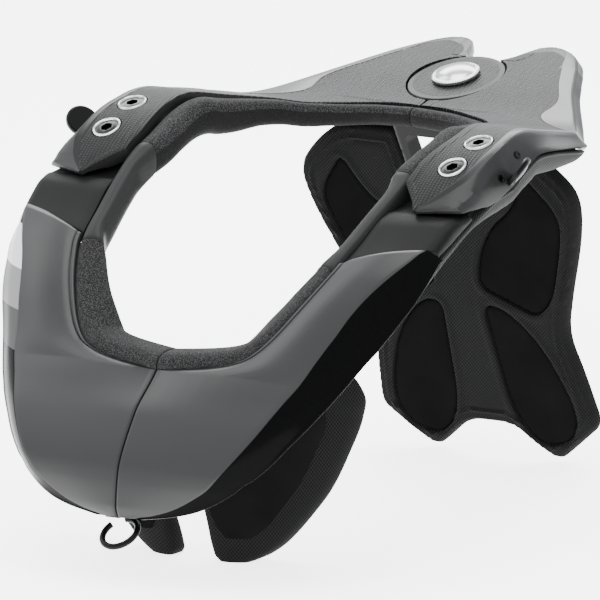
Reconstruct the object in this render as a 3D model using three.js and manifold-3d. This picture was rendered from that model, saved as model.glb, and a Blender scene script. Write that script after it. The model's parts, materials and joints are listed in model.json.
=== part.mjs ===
// A neck brace for motocross: a stiff collar in two halves that swing on a hub at the back,
// a padded back support below the hub, and padded chest plates below the front shells.
// Millimetres, +Z up, -Y to the front, +X to the wearer's left.

import * as THREE from 'three';
import { mergeVertices } from 'three/addons/utils/BufferGeometryUtils.js';
import Module from 'manifold-3d';

const wasm = await Module();
wasm.setup();

// Driving sizes
const halfWidth = 140; // middle to the widest point of a wing
const frontReach = 308; // hub centre forward to the chest lip
const chestDrop = 176.5; // hub centre down to the chest lip
const standHeight = 211; // hub centre above the table that the pads stand on
const clearance = 0.35; // between pieces that touch
const seamGap = 0.8; // between the two halves, in all
const hubRadius = 26.7;
const hubLean = THREE.MathUtils.degToRad(13.6);
const hubFlangeRadius = 36;
const hubFlangeThickness = 3;
const buttonRadius = 13.2;
const buttonRim = 2.2;
const buttonDome = 3.6;
const wingPlate = 8; // thickness of a wing's plate
const armSide = 20; // height of the side wall along an arm
const armWall = 4;
const wingCrown = 0.8;
const edgeRound = 0.6;
const shellWall = 4;
const shellCrown = 3;
const shellGap = 0.9; // from a mid frame to a front shell
const shellBevel = 13.5; // how far the bevelled side of a front shell drops
const midThickness = 7;
const rollWidth = 18; // foam roll at the front, measured in towards the neck
const rollHeight = 22;
const rollRise = 7;
const rollSides = 12;
const screwRadius = 8;
const screwDepth = 3;
const screwSocket = 2.6; // across the hexagon, from its centre to a corner
const studRadius = 10.6;
const studThickness = 4.2;
const studPostRadius = 4;
const backThickness = 9;
const backRim = 2.4;
const backLeanSlope = 0.2755; // how far the back support leans back for each mm down
const backTopSetback = 32.2; // its face ahead of the hub centre, carried up to hub height
const insetDepth = 3;
const insetEdge = 1.2;
const chestPadThickness = 13;
const chestLean = 0.3;
const chestWrap = 0.7; // how far the chest pads wrap back, as a share of their half width
const chestHalfWidth = 104;
const chestBottomReach = 246;
const panelThickness = 3.2;
const ringRadius = 10;
const ringWire = 1.65;
const ringTilt = THREE.MathUtils.degToRad(34);

// The collar's top is one sheet, bent only in side view. Each row is a point of that side view:
// forward (share of frontReach), up (share of chestDrop).
const sideView = [
  [-0.169, 0.057],
  [-0.081, 0.031],
  [0, 0],
  [0.107, -0.051],
  [0.162, -0.052],
  [0.214, -0.028],
  [0.292, 0.003],
  [0.36, 0.028],
  [0.416, 0.014],
  [0.474, -0.017],
  [0.536, -0.068],
  [0.604, -0.142],
  [0.662, -0.215],
  [0.711, -0.272],
  [0.744, -0.32],
  [0.789, -0.402],
  [0.854, -0.544],
  [0.899, -0.635],
  [0.937, -0.714],
  [0.976, -0.816],
  [0.99, -0.884],
  [1, -1],
];
const sheetLine = new THREE.SplineCurve(
  sideView.map(([forward, up]) => new THREE.Vector2(-forward * frontReach, up * chestDrop)),
);
sheetLine.arcLengthDivisions = 800;

// The edge round the neck: along (share of the sheet's length), across (share of halfWidth).
const neckEdge = [
  { along: 0.1942, across: 0.003 },
  { along: 0.1953, across: 0.114 },
  { along: 0.2032, across: 0.233 },
  { along: 0.2188, across: 0.364 },
  { along: 0.2323, across: 0.414 },
  { along: 0.2553, across: 0.493 },
  { along: 0.2897, across: 0.55 },
  { along: 0.3263, across: 0.6 },
  { along: 0.3584, across: 0.657 },
  { along: 0.4035, across: 0.679 },
  { along: 0.4428, across: 0.669 },
  { along: 0.4717, across: 0.659 },
  { along: 0.5083, across: 0.662 },
  { along: 0.5788, across: 0.639 },
  { along: 0.6438, across: 0.612 },
  { along: 0.673, across: 0.586 },
  { along: 0.7179, across: 0.525 },
  { along: 0.7606, across: 0.449 },
  { along: 0.7857, across: 0.374 },
  { along: 0.7979, across: 0.283 },
  { along: 0.8047, across: 0.183 },
  { along: 0.8087, across: 0.099 },
  { along: 0.8127, across: 0.003 },
];

// Rows of a wing, from the horn's end to the arm's tip: along, inner, crease and foot (shares of
// halfWidth), side (share of armSide) and plate (share of wingPlate). An inner of null follows the neck edge.
const wingColumns = ['along', 'inner', 'crease', 'foot', 'side', 'plate'];
const wingRows = readRows(wingColumns, [
  [0.0045, 0.25, 0.3, 0.325, 0.3, 0.75],
  [0.0113, 0.2, 0.33, 0.354, 0.34, 0.85],
  [0.0316, 0.168, 0.375, 0.4, 0.38, 0.95],
  [0.0496, 0.111, 0.412, 0.438, 0.4, 1],
  [0.0623, 0.079, 0.439, 0.466, 0.4, 1],
  [0.064, 0.003, 0.442, 0.469, 0.4, 1],
  [0.0905, 0.003, 0.493, 0.523, 0.4, 1],
  [0.118, 0.003, 0.547, 0.579, 0.4, 1],
  [0.1643, 0.003, 0.657, 0.693, 0.4, 1],
  [0.1942, 0.003, 0.733, 0.771, 0.42, 1],
  [0.1953, null, 0.736, 0.774, 0.42, 1],
  [0.2032, null, 0.757, 0.796, 0.43, 1],
  [0.2188, null, 0.797, 0.84, 0.44, 1],
  [0.2323, null, 0.836, 0.882, 0.47, 1],
  [0.2553, null, 0.889, 0.95, 0.5, 1],
  [0.2737, null, 0.918, 0.997, 0.54, 1],
  [0.2897, null, 0.92, 1, 0.58, 1],
  [0.3263, null, 0.905, 0.998, 0.62, 1],
  [0.3584, null, 0.905, 0.99, 0.7, 1],
  [0.4035, null, 0.925, 0.988, 0.85, 1],
  [0.4428, null, 0.94, 0.992, 1, 1],
  [0.4717, null, 0.938, 0.99, 1, 1],
  [0.4991, null, 0.925, 0.989, 0.85, 1],
  [0.5083, null, 0.91, 0.988, 0.72, 1],
  [0.525, 0.711, 0.88, 0.986, 0.43, 0.94],
  [0.5382, 0.75, 0.845, 0.9, 0.27, 0.62],
  [0.5533, 0.785, 0.795, 0.803, 0.13, 0.3],
]);

// Rows of a mid frame: along, outer (share of halfWidth), top and bottom (depths below the sheet in
// shares of wingPlate). The last row is the seam to the front shell and slants like the shell's edge.
const midColumns = ['along', 'outer', 'top', 'bottom'];
const midRows = readRows(midColumns, [
  [0.4619, 0.9, 1.15, 1.9],
  [0.4865, 0.92, 1.2, 2],
  [0.4991, 0.912, 1.28, 2.1],
  [0.5172, 0.908, 1.24, 2],
  [0.526, 0.915, 1.17, 1.95],
  [0.53, 0.978, 1.12, 1.9],
  [0.545, 0.983, 0.76, 1.7],
  [0.5533, 0.985, 0.5, 1.6],
  [0.5788, 0.984, 0.3, 1.45],
]);

// Rows of a front shell: inner and outer (where the row meets the neck edge and the outside, in
// shares of the sheet's length), crease and lip (shares of halfWidth), drop (share of shellBevel).
const shellColumns = ['along', 'outerAlong', 'crease', 'lip', 'drop'];
const shellRows = readRows(shellColumns, [
  [0.6438, 0.6036, 0.945, 0.982, 0.7],
  [0.6522, 0.625, 0.915, 0.98, 0.8],
  [0.673, 0.656, 0.86, 0.972, 0.92],
  [0.6917, 0.685, 0.815, 0.95, 1],
  [0.7179, 0.7179, 0.775, 0.918, 1],
  [0.7426, 0.7426, 0.75, 0.886, 1],
  [0.7606, 0.7606, 0.728, 0.857, 0.97],
  [0.7857, 0.7857, 0.7, 0.82, 0.95],
  [0.7979, 0.7979, 0.688, 0.802, 0.94],
  [0.8047, 0.8047, 0.68, 0.792, 0.94],
  [0.8087, 0.8087, 0.676, 0.786, 0.94],
  [0.8127, 0.8127, 0.672, 0.78, 0.94],
  [0.8366, 0.8366, 0.636, 0.742, 0.94],
  [0.877, 0.877, 0.579, 0.669, 0.96],
  [0.9021, 0.9021, 0.534, 0.62, 0.96],
  [0.9252, 0.9252, 0.486, 0.566, 0.92],
  [0.9377, 0.9377, 0.456, 0.535, 0.85],
  [0.9538, 0.9538, 0.41, 0.49, 0.72],
  [0.9663, 0.9663, 0.35, 0.44, 0.58],
  [0.9824, 0.9824, 0.25, 0.34, 0.34],
  [0.9913, 0.9913, 0.16, 0.235, 0.2],
  [0.9975, 0.9975, 0.06, 0.11, 0.12],
]);

// Rows of the foam roll along the neck edge: along, width, height and rise (shares of the roll at the front).
const rollColumns = ['along', 'width', 'height', 'rise'];
const rollRows = readRows(rollColumns, [
  [0.1942, 0.5, 0.6, -0.45],
  [0.2323, 0.53, 0.62, -0.45],
  [0.2897, 0.62, 0.68, -0.42],
  [0.3584, 0.75, 0.78, -0.4],
  [0.4428, 0.8, 0.82, -0.4],
  [0.5083, 0.8, 0.85, -0.3],
  [0.6438, 0.85, 0.9, 0],
  [0.7179, 0.92, 0.95, 0.3],
  [0.7857, 1, 1, 0.8],
  [0.8127, 1, 1, 1],
]);
const rearFoamEnd = 0.4865;
const frontFoamStart = 0.655;
const rimGap = 0.0014; // share of the sheet's length between a foam end and the rim

// Rows of a shoulder pad, which lies under the wing's arm, the mid frame and the end of the front
// shell: along, inner and outer (shares of halfWidth), low (its underside's depth in shares of armSide).
const shoulderColumns = ['along', 'inner', 'outer', 'low'];
const shoulderRows = readRows(shoulderColumns, [
  [0.27, 0.8, 0.925, 0.62],
  [0.2897, 0.74, 0.985, 0.84],
  [0.3263, 0.697, 0.988, 1.05],
  [0.3584, 0.697, 0.98, 1.22],
  [0.4035, 0.697, 0.978, 1.4],
  [0.4428, 0.697, 0.982, 1.5],
  [0.4717, 0.697, 0.98, 1.42],
  [0.5083, 0.697, 0.978, 1.2],
  [0.5382, 0.697, 0.975, 1.02],
  [0.5788, 0.69, 0.975, 0.9],
  [0.6036, 0.687, 0.972, 0.85],
  [0.625, 0.7, 0.965, 0.87],
  [0.656, 0.73, 0.955, 0.92],
  [0.685, 0.76, 0.93, 0.93],
  [0.7179, 0.79, 0.88, 0.93],
]);

// Half outline of the back support: across (share of halfWidth), down (share of standHeight), corner
// (radius as a share of halfWidth).
const backOutline = [
  [0.147, 0.118, 0.01],
  [0.36, 0.118, 0.05],
  [0.47, 0.14, 0.06],
  [0.57, 0.19, 0.06],
  [0.66, 0.255, 0.12],
  [0.625, 0.37, 0.2],
  [0.505, 0.55, 0.14],
  [0.452, 0.65, 0.14],
  [0.485, 0.745, 0.14],
  [0.515, 0.892, 0.05],
  [0.29, 1, 0.05],
  [0.105, 0.91, 0.06],
  [0, 0.903, 0.01],
];
// The bracket that fills the notch at the top, and its window.
const bracketOutline = [
  [0.146, 0.076, 0.03],
  [0.1, 0.31, 0.03],
  [-0.1, 0.31, 0.03],
  [-0.146, 0.076, 0.03],
];
const bracketWindow = [
  [0.09, 0.125, 0.03],
  [0.056, 0.27, 0.03],
  [-0.056, 0.27, 0.03],
  [-0.09, 0.125, 0.03],
];
// The dark padded insets, as outlines of the same kind.
const upperInset = [
  [0.26, 0.155, 0.05],
  [0.45, 0.185, 0.1],
  [0.58, 0.29, 0.12],
  [0.53, 0.42, 0.15],
  [0.42, 0.585, 0.08],
  [0.13, 0.51, 0.06],
  [0.13, 0.42, 0.08],
];
const lowerInset = [
  [0.095, 0.575, 0.06],
  [0.21, 0.585, 0.12],
  [0.35, 0.68, 0.14],
  [0.445, 0.85, 0.12],
  [0.4, 0.93, 0.08],
  [0.25, 0.965, 0.08],
  [0.125, 0.88, 0.14],
];

// Rows of a chest pad: down (share of standHeight), inner and outer (shares of chestHalfWidth).
const chestColumns = ['down', 'inner', 'outer'];
const chestRows = readRows(chestColumns, [
  [1, 0.18, 0.3],
  [0.985, 0.13, 0.37],
  [0.967, 0.12, 0.43],
  [0.943, 0.115, 0.5],
  [0.88, 0.115, 0.63],
  [0.81, 0.115, 0.76],
  [0.72, 0.115, 0.87],
  [0.62, 0.115, 0.97],
  [0.57, 0.115, 1],
  [0.525, 0.12, 0.985],
  [0.49, 0.14, 0.94],
  [0.42, 0.3, 0.9],
]);
const chestPanelRows = readRows(chestColumns, [
  [0.93, 0.24, 0.37],
  [0.905, 0.2, 0.44],
  [0.85, 0.18, 0.54],
  [0.78, 0.18, 0.65],
  [0.7, 0.18, 0.74],
  [0.62, 0.2, 0.81],
  [0.57, 0.24, 0.82],
]);

// Screws through an arm: along, across.
const screwPlaces = {
  upper: { along: 0.4215, across: 0.821 },
  lower: { along: 0.4765, across: 0.819 },
};
// Strap stud on a wing's side: its centre and its outward direction.
const studPlace = { across: 1.036, forward: 0.449, up: -0.059 };
const studFacing = new THREE.Vector3(0.69, 0.355, -0.64).normalize();

// Helpers for tables
function readRows(columns, rows) {
  return rows.map((row) => Object.fromEntries(columns.map((name, i) => [name, row[i]])));
}

function readAt(rows, along, name) {
  const last = rows.length - 1;
  if (along <= rows[0].along) return rows[0][name];
  if (along >= rows[last].along) return rows[last][name];
  const next = rows.findIndex((row) => row.along > along);
  const before = rows[next - 1];
  const share = (along - before.along) / (rows[next].along - before.along);
  return THREE.MathUtils.lerp(before[name], rows[next][name], share);
}

function neckX(along) {
  return Math.max(readAt(neckEdge, along, 'across') * halfWidth, seamGap / 2);
}

// A point of the sheet, moved straight into it by depth.
function onSheet(x, along, depth) {
  const point = sheetLine.getPointAt(along);
  const ahead = sheetLine.getTangentAt(along);
  return new THREE.Vector3(x, point.x - ahead.y * depth, point.y + ahead.x * depth);
}

// The point straight below the edge round the neck that lies depth under the sheet. In front of the
// neck the edge is the seam, and the point goes straight into the sheet.
function straightUnder(x, along, depth) {
  if (along > neckEdge[neckEdge.length - 1].along) return onSheet(x, along, depth);
  const point = onSheet(x, along, 0);
  point.z -= depth / Math.abs(sheetLine.getTangentAt(along).x);
  return point;
}

// Helpers for solids
function loft(rings) {
  const count = rings[0].length;
  const positions = rings.flat().flatMap((point) => point.toArray());
  const index = [];
  for (let row = 0; row < rings.length - 1; row += 1) {
    for (let i = 0; i < count; i += 1) {
      const a = row * count + i;
      const b = row * count + ((i + 1) % count);
      index.push(a, b, b + count);
      index.push(a, b + count, a + count);
    }
  }
  capFaces(rings[0]).forEach(([a, b, c]) => index.push(c, b, a));
  const last = (rings.length - 1) * count;
  capFaces(rings[rings.length - 1]).forEach(([a, b, c]) => index.push(last + a, last + b, last + c));
  const geometry = new THREE.BufferGeometry();
  geometry.setAttribute('position', new THREE.Float32BufferAttribute(positions, 3));
  geometry.setIndex(index);
  return volumeOf(geometry) < 0 ? flipped(geometry) : geometry;
}

// Triangles of a flat ring, which turn the way the ring does.
function capFaces(ring) {
  const normal = new THREE.Vector3();
  const middle = ring.reduce((sum, point) => sum.add(point), new THREE.Vector3()).divideScalar(ring.length);
  ring.forEach((point, i) => {
    const spoke = point.clone().sub(middle);
    normal.add(spoke.cross(ring[(i + 1) % ring.length].clone().sub(middle)));
  });
  normal.normalize();
  const side = ring[1].clone().sub(ring[0]).projectOnPlane(normal).normalize();
  const up = normal.clone().cross(side);
  const flat = ring.map((point) => {
    const spoke = point.clone().sub(middle);
    return new THREE.Vector2(spoke.dot(side), spoke.dot(up));
  });
  return THREE.ShapeUtils.triangulateShape(flat, []);
}

function volumeOf(geometry) {
  const position = geometry.getAttribute('position');
  const corner = [new THREE.Vector3(), new THREE.Vector3(), new THREE.Vector3()];
  let volume = 0;
  for (let i = 0; i < geometry.index.count; i += 3) {
    corner.forEach((point, k) => point.fromBufferAttribute(position, geometry.index.getX(i + k)));
    volume += corner[0].dot(corner[1].clone().cross(corner[2])) / 6;
  }
  return volume;
}

function flipped(geometry) {
  const copy = geometry.clone();
  const index = Array.from(copy.index.array);
  for (let i = 0; i < index.length; i += 3) {
    const second = index[i + 1];
    index[i + 1] = index[i + 2];
    index[i + 2] = second;
  }
  copy.setIndex(index);
  return copy;
}

function mirrored(geometry) {
  return flipped(bare(geometry).scale(-1, 1, 1));
}

function bare(geometry) {
  const copy = geometry.clone();
  copy.deleteAttribute('normal');
  copy.deleteAttribute('uv');
  return mergeVertices(copy, 1e-3);
}

function toManifold(geometry) {
  const merged = bare(geometry);
  return new wasm.Manifold(
    new wasm.Mesh({
      numProp: 3,
      vertProperties: new Float32Array(merged.getAttribute('position').array),
      triVerts: new Uint32Array(merged.index.array),
    }),
  );
}

function toGeometry(manifold) {
  const mesh = manifold.getMesh();
  const geometry = new THREE.BufferGeometry();
  geometry.setAttribute('position', new THREE.BufferAttribute(new Float32Array(mesh.vertProperties), 3));
  geometry.setIndex(new THREE.BufferAttribute(new Uint32Array(mesh.triVerts), 1));
  return geometry;
}

function cutFrom(geometry, ...cutters) {
  return toGeometry(cutters.reduce((body, cutter) => body.subtract(toManifold(cutter)), toManifold(geometry)));
}

// The largest of the bodies that a cut leaves.
function largest(geometry) {
  const bodies = toManifold(geometry).decompose();
  return toGeometry(bodies.reduce((best, body) => (body.volume() > best.volume() ? body : best)));
}

function joined(...geometries) {
  const [first, ...rest] = geometries.map(toManifold);
  return toGeometry(rest.reduce((body, other) => body.add(other), first));
}

function overlapOf(geometry, other) {
  return toGeometry(toManifold(geometry).intersect(toManifold(other)));
}

// Turns a shape built along +Z so that +Z points along direction, and moves it to place.
function placed(geometry, direction, place) {
  const turn = new THREE.Quaternion().setFromUnitVectors(new THREE.Vector3(0, 0, 1), direction);
  return geometry.clone().applyQuaternion(turn).translate(place.x, place.y, place.z);
}

// A cylinder along +Z from low to high.
function post(radius, low, high, sides) {
  const cylinder = new THREE.CylinderGeometry(radius, radius, high - low, sides);
  return cylinder.rotateX(Math.PI / 2).translate(0, 0, (low + high) / 2);
}

// A turned piece: profile of [radius, height] that starts and ends on the axis.
function turned(profile, sides) {
  const points = profile.map(([radius, height]) => new THREE.Vector2(radius, height));
  return new THREE.LatheGeometry(points, sides).rotateX(Math.PI / 2);
}

// An outline of [across, down, corner radius] in shares, with each corner rounded by a curve.
function roundedShape(outline, width, drop) {
  const corners = outline.map(([across, down, radius]) => ({
    point: new THREE.Vector2(across * width, -down * drop),
    radius: radius * width,
  }));
  const shape = new THREE.Shape();
  corners.forEach(({ point, radius }, i) => {
    const before = corners[(i + corners.length - 1) % corners.length].point;
    const after = corners[(i + 1) % corners.length].point;
    const reachIn = Math.min(radius, point.distanceTo(before) * 0.48);
    const reachOut = Math.min(radius, point.distanceTo(after) * 0.48);
    const start = point.clone().lerp(before, reachIn / point.distanceTo(before));
    const end = point.clone().lerp(after, reachOut / point.distanceTo(after));
    if (i === 0) shape.moveTo(start.x, start.y);
    else shape.lineTo(start.x, start.y);
    shape.quadraticCurveTo(point.x, point.y, end.x, end.y);
  });
  shape.closePath();
  return shape;
}

// The hub's axis
const hubAxis = new THREE.Vector3(0, -Math.sin(hubLean), Math.cos(hubLean));
const hubCentre = new THREE.Vector3(0, 0, 0);
const hubSides = 64;

function onHub(geometry) {
  return placed(geometry, hubAxis, hubCentre);
}

// Wings
function wingInner(row) {
  return row.inner === null ? neckX(row.along) : Math.max(row.inner * halfWidth, seamGap / 2);
}

function wingRing(row) {
  const inner = wingInner(row);
  const crease = row.crease * halfWidth;
  const foot = row.foot * halfWidth;
  const side = row.side * armSide;
  const plate = row.plate * wingPlate;
  const wall = Math.min(armWall, (foot - inner) * 0.3);
  const middle = (inner + crease) / 2;
  const crown = wingCrown * row.plate;
  const outline = [
    [THREE.MathUtils.lerp(inner, middle, 0.12), 0],
    [middle, -crown],
    [THREE.MathUtils.lerp(middle, crease, 0.8), -crown * 0.4],
    [crease, 0],
    [THREE.MathUtils.lerp(crease, foot, 0.65), side * 0.45],
    [foot, Math.max(side, plate * 0.9)],
    [foot - wall, Math.max(side, plate)],
    [Math.max(crease - wall * 0.25, middle), plate],
    [middle, plate],
  ];
  const ring = outline.map(([x, depth]) => onSheet(x, row.along, depth));
  return [...ring, straightUnder(inner, row.along, plate), straightUnder(inner, row.along, edgeRound)];
}

const wingBlank = loft(wingRows.map(wingRing));
const hubCutter = onHub(post(hubRadius + clearance, -40, 40, hubSides));
const flangeTop = -(wingPlate + 0.6);
const flangeCutter = onHub(post(hubFlangeRadius + 0.5, -60, flangeTop + clearance, hubSides));

function screwSeat(place) {
  const seat = onSheet(place.across * halfWidth, place.along, 0);
  const ahead = sheetLine.getTangentAt(place.along);
  return { seat, facing: new THREE.Vector3(0, ahead.y, -ahead.x) };
}

const screwCutters = Object.values(screwPlaces).map((place) => {
  const { seat, facing } = screwSeat(place);
  return placed(post(screwRadius + clearance, -screwDepth, 12, 24), facing, seat);
});
const wingLeft = cutFrom(wingBlank, hubCutter, flangeCutter, ...screwCutters);

// Hub plate: the round middle of the sheet, on a flange that carries the wings
function hubBlankRing(along) {
  const half = hubRadius * 1.3;
  return [
    onSheet(-half, along, 0),
    onSheet(half, along, 0),
    onSheet(half, along, wingPlate),
    onSheet(-half, along, wingPlate),
  ];
}

const hubStations = [0.0623, 0.0905, 0.118, 0.1643, 0.19];
const hubDisc = overlapOf(loft(hubStations.map(hubBlankRing)), onHub(post(hubRadius, -40, 40, hubSides)));
const hubFlange = onHub(post(hubFlangeRadius, flangeTop - hubFlangeThickness, flangeTop, hubSides));
const hubNeck = onHub(post(hubRadius - 4, flangeTop - 1, -wingPlate + 2, 32));
const hubPlate = joined(hubDisc, hubNeck, hubFlange);

const buttonTop = new THREE.Vector3().addScaledVector(hubAxis, clearance);
const hubButton = placed(
  turned(
    [
      [0, 0],
      [buttonRadius - 0.6, 0],
      [buttonRadius, 0.6],
      [buttonRadius, buttonRim],
      [buttonRadius * 0.86, buttonRim + buttonDome * 0.45],
      [buttonRadius * 0.55, buttonRim + buttonDome * 0.84],
      [0, buttonRim + buttonDome],
    ],
    32,
  ),
  hubAxis,
  buttonTop,
);

// Mid frames
const rearRow = shellRows[0];
const seamSlant = (rearRow.along - rearRow.outerAlong) / (rearRow.lip * halfWidth - neckX(rearRow.along));
const seamExtra = 0.012; // how far each piece is built past the seam before the cut
const seamInner = onSheet(neckX(rearRow.along), rearRow.along, 0);
const seamOuter = onSheet(rearRow.lip * halfWidth, rearRow.outerAlong, 0);
const seamDepth = onSheet(0, (rearRow.along + rearRow.outerAlong) / 2, 1).sub(
  onSheet(0, (rearRow.along + rearRow.outerAlong) / 2, 0),
);
const seamNormal = seamOuter.clone().sub(seamInner).cross(seamDepth).normalize();
if (seamNormal.y > 0) seamNormal.negate();

// Keeps what lies past the seam on the side that facing points to.
function trimmed(geometry, facing, gap) {
  return toGeometry(toManifold(geometry).trimByPlane(facing.toArray(), facing.dot(seamInner) + gap));
}

function midRing(row) {
  const inner = neckX(row.along) + clearance / 2;
  const outer = row.outer * halfWidth;
  const top = row.top * wingPlate;
  const bottom = row.bottom * wingPlate;
  const middle = (inner + outer) / 2;
  const slant = row.slant ?? 0;
  const outline = [
    [inner + 2, top],
    [middle, top - wingCrown / 2],
    [outer - 4, top],
    [outer, top + 3.5],
    [outer, bottom - 1],
    [outer - 3, bottom],
  ];
  const ring = outline.map(([x, depth]) => onSheet(x, row.along - slant * (x - inner), depth));
  return [...ring, straightUnder(inner, row.along, bottom), straightUnder(inner, row.along, top + edgeRound)];
}

const midSeamRow = {
  along: rearRow.along,
  outer: 0.975,
  top: 0.3,
  bottom: 0.3 + midThickness / wingPlate,
  slant: seamSlant,
};
const midEndRow = { ...midSeamRow, along: rearRow.along + seamExtra };
const midBlank = loft([...midRows, midSeamRow, midEndRow].map(midRing));
const midFrameLeft = trimmed(midBlank, seamNormal.clone().negate(), shellGap / 2);

// Front shells
function shellRing(row) {
  const inner = neckX(row.along);
  const crease = row.crease * halfWidth;
  const lip = row.lip * halfWidth;
  const drop = row.drop * shellBevel;
  const width = crease - inner;
  const crown = shellCrown * Math.min(1, width / 30);
  const slant = (row.along - row.outerAlong) / (lip - inner);
  const wallIn = Math.min(shellWall, width * 0.3);
  const outline = [
    [inner, 0],
    [inner + width * 0.25, -crown * 0.75],
    [inner + width * 0.5, -crown],
    [inner + width * 0.78, -crown * 0.7],
    [crease, 0],
    [THREE.MathUtils.lerp(crease, lip, 0.6), drop * 0.52],
    [lip, drop],
    [lip - wallIn, drop + 0.6],
    [crease - wallIn * 0.6, shellWall],
    [inner + width * 0.5, shellWall - crown],
  ];
  const ring = outline.map(([x, depth]) => onSheet(x, row.along - slant * (x - inner), depth));
  return [...ring, straightUnder(inner, row.along, shellWall)];
}

const shellRearRow = {
  ...rearRow,
  along: rearRow.along - seamExtra,
  outerAlong: rearRow.outerAlong - seamExtra,
};
const shellBlank = loft([shellRearRow, ...shellRows.slice(1)].map(shellRing));
const frontShellLeft = trimmed(shellBlank, seamNormal, shellGap / 2);

// Foam rolls and rims along the neck edge
function neckPoint(along) {
  return onSheet(neckX(along), along, 0);
}

function neckFrame(along) {
  const step = 0.004;
  const before = neckPoint(Math.max(along - step, neckEdge[0].along));
  const after = neckPoint(Math.min(along + step, neckEdge[neckEdge.length - 1].along));
  const run = after.sub(before).setZ(0).normalize();
  const inwards = new THREE.Vector3(run.y, -run.x, 0);
  const point = neckPoint(along);
  if (inwards.dot(new THREE.Vector3(-point.x, -frontReach / 2 - point.y, 0)) < 0) inwards.negate();
  return { point, inwards };
}

function rollRing(along, swell) {
  const { point, inwards } = neckFrame(along);
  const width = readAt(rollRows, along, 'width') * rollWidth + swell * 2;
  const height = readAt(rollRows, along, 'height') * rollHeight + swell * 2;
  const top = readAt(rollRows, along, 'rise') * rollRise + swell;
  const ring = [];
  for (let i = 0; i < rollSides; i += 1) {
    const angle = (i / rollSides) * Math.PI * 2;
    const across = Math.cos(angle);
    const up = Math.sin(angle);
    const fullness = 0.75;
    const inward = clearance - swell + (width / 2) * (1 + Math.sign(across) * Math.abs(across) ** fullness);
    const lift = top - (height / 2) * (1 - Math.sign(up) * Math.abs(up) ** fullness);
    ring.push(point.clone().addScaledVector(inwards, inward).setZ(point.z + lift));
  }
  return ring;
}

function rollStations(from, to) {
  const inside = neckEdge.map((row) => row.along).filter((along) => along > from + 0.002 && along < to - 0.002);
  return [from, ...inside, to];
}

function roll(from, to) {
  const blank = loft(rollStations(from, to).map((along) => rollRing(along, 0)));
  return toGeometry(toManifold(blank).trimByPlane([1, 0, 0], seamGap / 2));
}

const rearStart = neckEdge[0].along;
const frontEnd = neckEdge[neckEdge.length - 1].along;
const collarFoamRearLeft = roll(rearStart, rearFoamEnd - rimGap);
const innerRimLeft = roll(rearFoamEnd, frontFoamStart - rimGap);
const collarFoamFrontLeft = roll(frontFoamStart, frontEnd);

// Shadows of the hard pieces: everything over their undersides, grown by the clearance. They cut the
// pads that lie under those pieces.
const shadowHeight = 40;
const shadowSide = 6;

function wingShadowRing(row) {
  const inner = wingInner(row);
  const crease = row.crease * halfWidth;
  const foot = row.foot * halfWidth;
  const plate = row.plate * wingPlate;
  const low = Math.max(row.side * armSide, plate);
  const wall = Math.min(armWall, (foot - inner) * 0.3);
  const inside = Math.max(crease - wall * 0.25, (inner + crease) / 2);
  const outline = [
    [inner - shadowSide, -shadowHeight / 3],
    [foot + shadowSide, -shadowHeight / 3],
    [foot + shadowSide, low + clearance],
    [foot - wall - clearance, low + clearance],
    [inside - clearance, plate + clearance],
    [(inner + crease) / 2, plate + clearance],
  ];
  const ring = outline.map(([x, depth]) => onSheet(x, row.along, depth));
  const under = plate + clearance * 1.2;
  return [...ring, straightUnder(inner, row.along, under), straightUnder(inner - shadowSide, row.along, under)];
}

function midShadowRing(row) {
  const inner = neckX(row.along);
  const outer = row.outer * halfWidth;
  const slant = row.slant ?? 0;
  const outline = [
    [inner - shadowSide, -shadowHeight / 3],
    [outer + shadowSide, -shadowHeight / 3],
    [outer + shadowSide, row.bottom * wingPlate + clearance],
    [outer - 3, row.bottom * wingPlate + clearance],
  ];
  const ring = outline.map(([x, depth]) => onSheet(x, row.along - slant * (x - inner), depth));
  const low = row.bottom * wingPlate + clearance * 1.2;
  return [...ring, straightUnder(inner, row.along, low), straightUnder(inner - shadowSide, row.along, low)];
}

function shellShadowRing(row) {
  const inner = neckX(row.along);
  const crease = row.crease * halfWidth;
  const lip = row.lip * halfWidth;
  const drop = row.drop * shellBevel;
  const width = crease - inner;
  const crown = shellCrown * Math.min(1, width / 30);
  const slant = (row.along - row.outerAlong) / (lip - inner);
  const wallIn = Math.min(shellWall, width * 0.3);
  const outline = [
    [inner - shadowSide, -shadowHeight],
    [lip + shadowSide, -shadowHeight],
    [lip + shadowSide, drop + 0.6 + clearance],
    [lip - wallIn - clearance, drop + 0.6 + clearance],
    [crease - wallIn * 0.6 - clearance, shellWall + clearance],
    [inner + width * 0.5, shellWall - crown + clearance],
  ];
  const ring = outline.map(([x, depth]) => onSheet(x, row.along - slant * (x - inner), depth));
  const low = shellWall + clearance * 1.5;
  return [...ring, straightUnder(inner, row.along, low), straightUnder(inner - shadowSide, row.along, low)];
}

const stepAlong = clearance / sheetLine.getLength();
const midShadowStart = { ...midRows[0], along: midRows[0].along - stepAlong * 24 };
const wingShadow = loft(wingRows.filter((row) => row.along > 0.2).map(wingShadowRing));
const midShadow = loft([midShadowStart, ...midRows.slice(1), midSeamRow, midEndRow].map(midShadowRing));
const shellShadow = loft([shellRearRow, ...shellRows.slice(1)].map(shellShadowRing));

// Shoulder pads
function shoulderRing(row) {
  const inner = row.inner * halfWidth;
  const outer = row.outer * halfWidth;
  const low = row.low * armSide;
  const outline = [
    [inner, 2],
    [outer, 2],
    [outer, low - 4],
    [outer - 1.5, low - 1.2],
    [outer - 5, low],
    [inner + 5, low],
    [inner + 1.5, low - 1.2],
    [inner, low - 4],
  ];
  return outline.map(([x, depth]) => onSheet(x, row.along, depth));
}

const shoulderBlank = loft(shoulderRows.map(shoulderRing));
const shoulderPadLeft = largest(cutFrom(shoulderBlank, wingShadow, midShadow, shellShadow));

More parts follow.
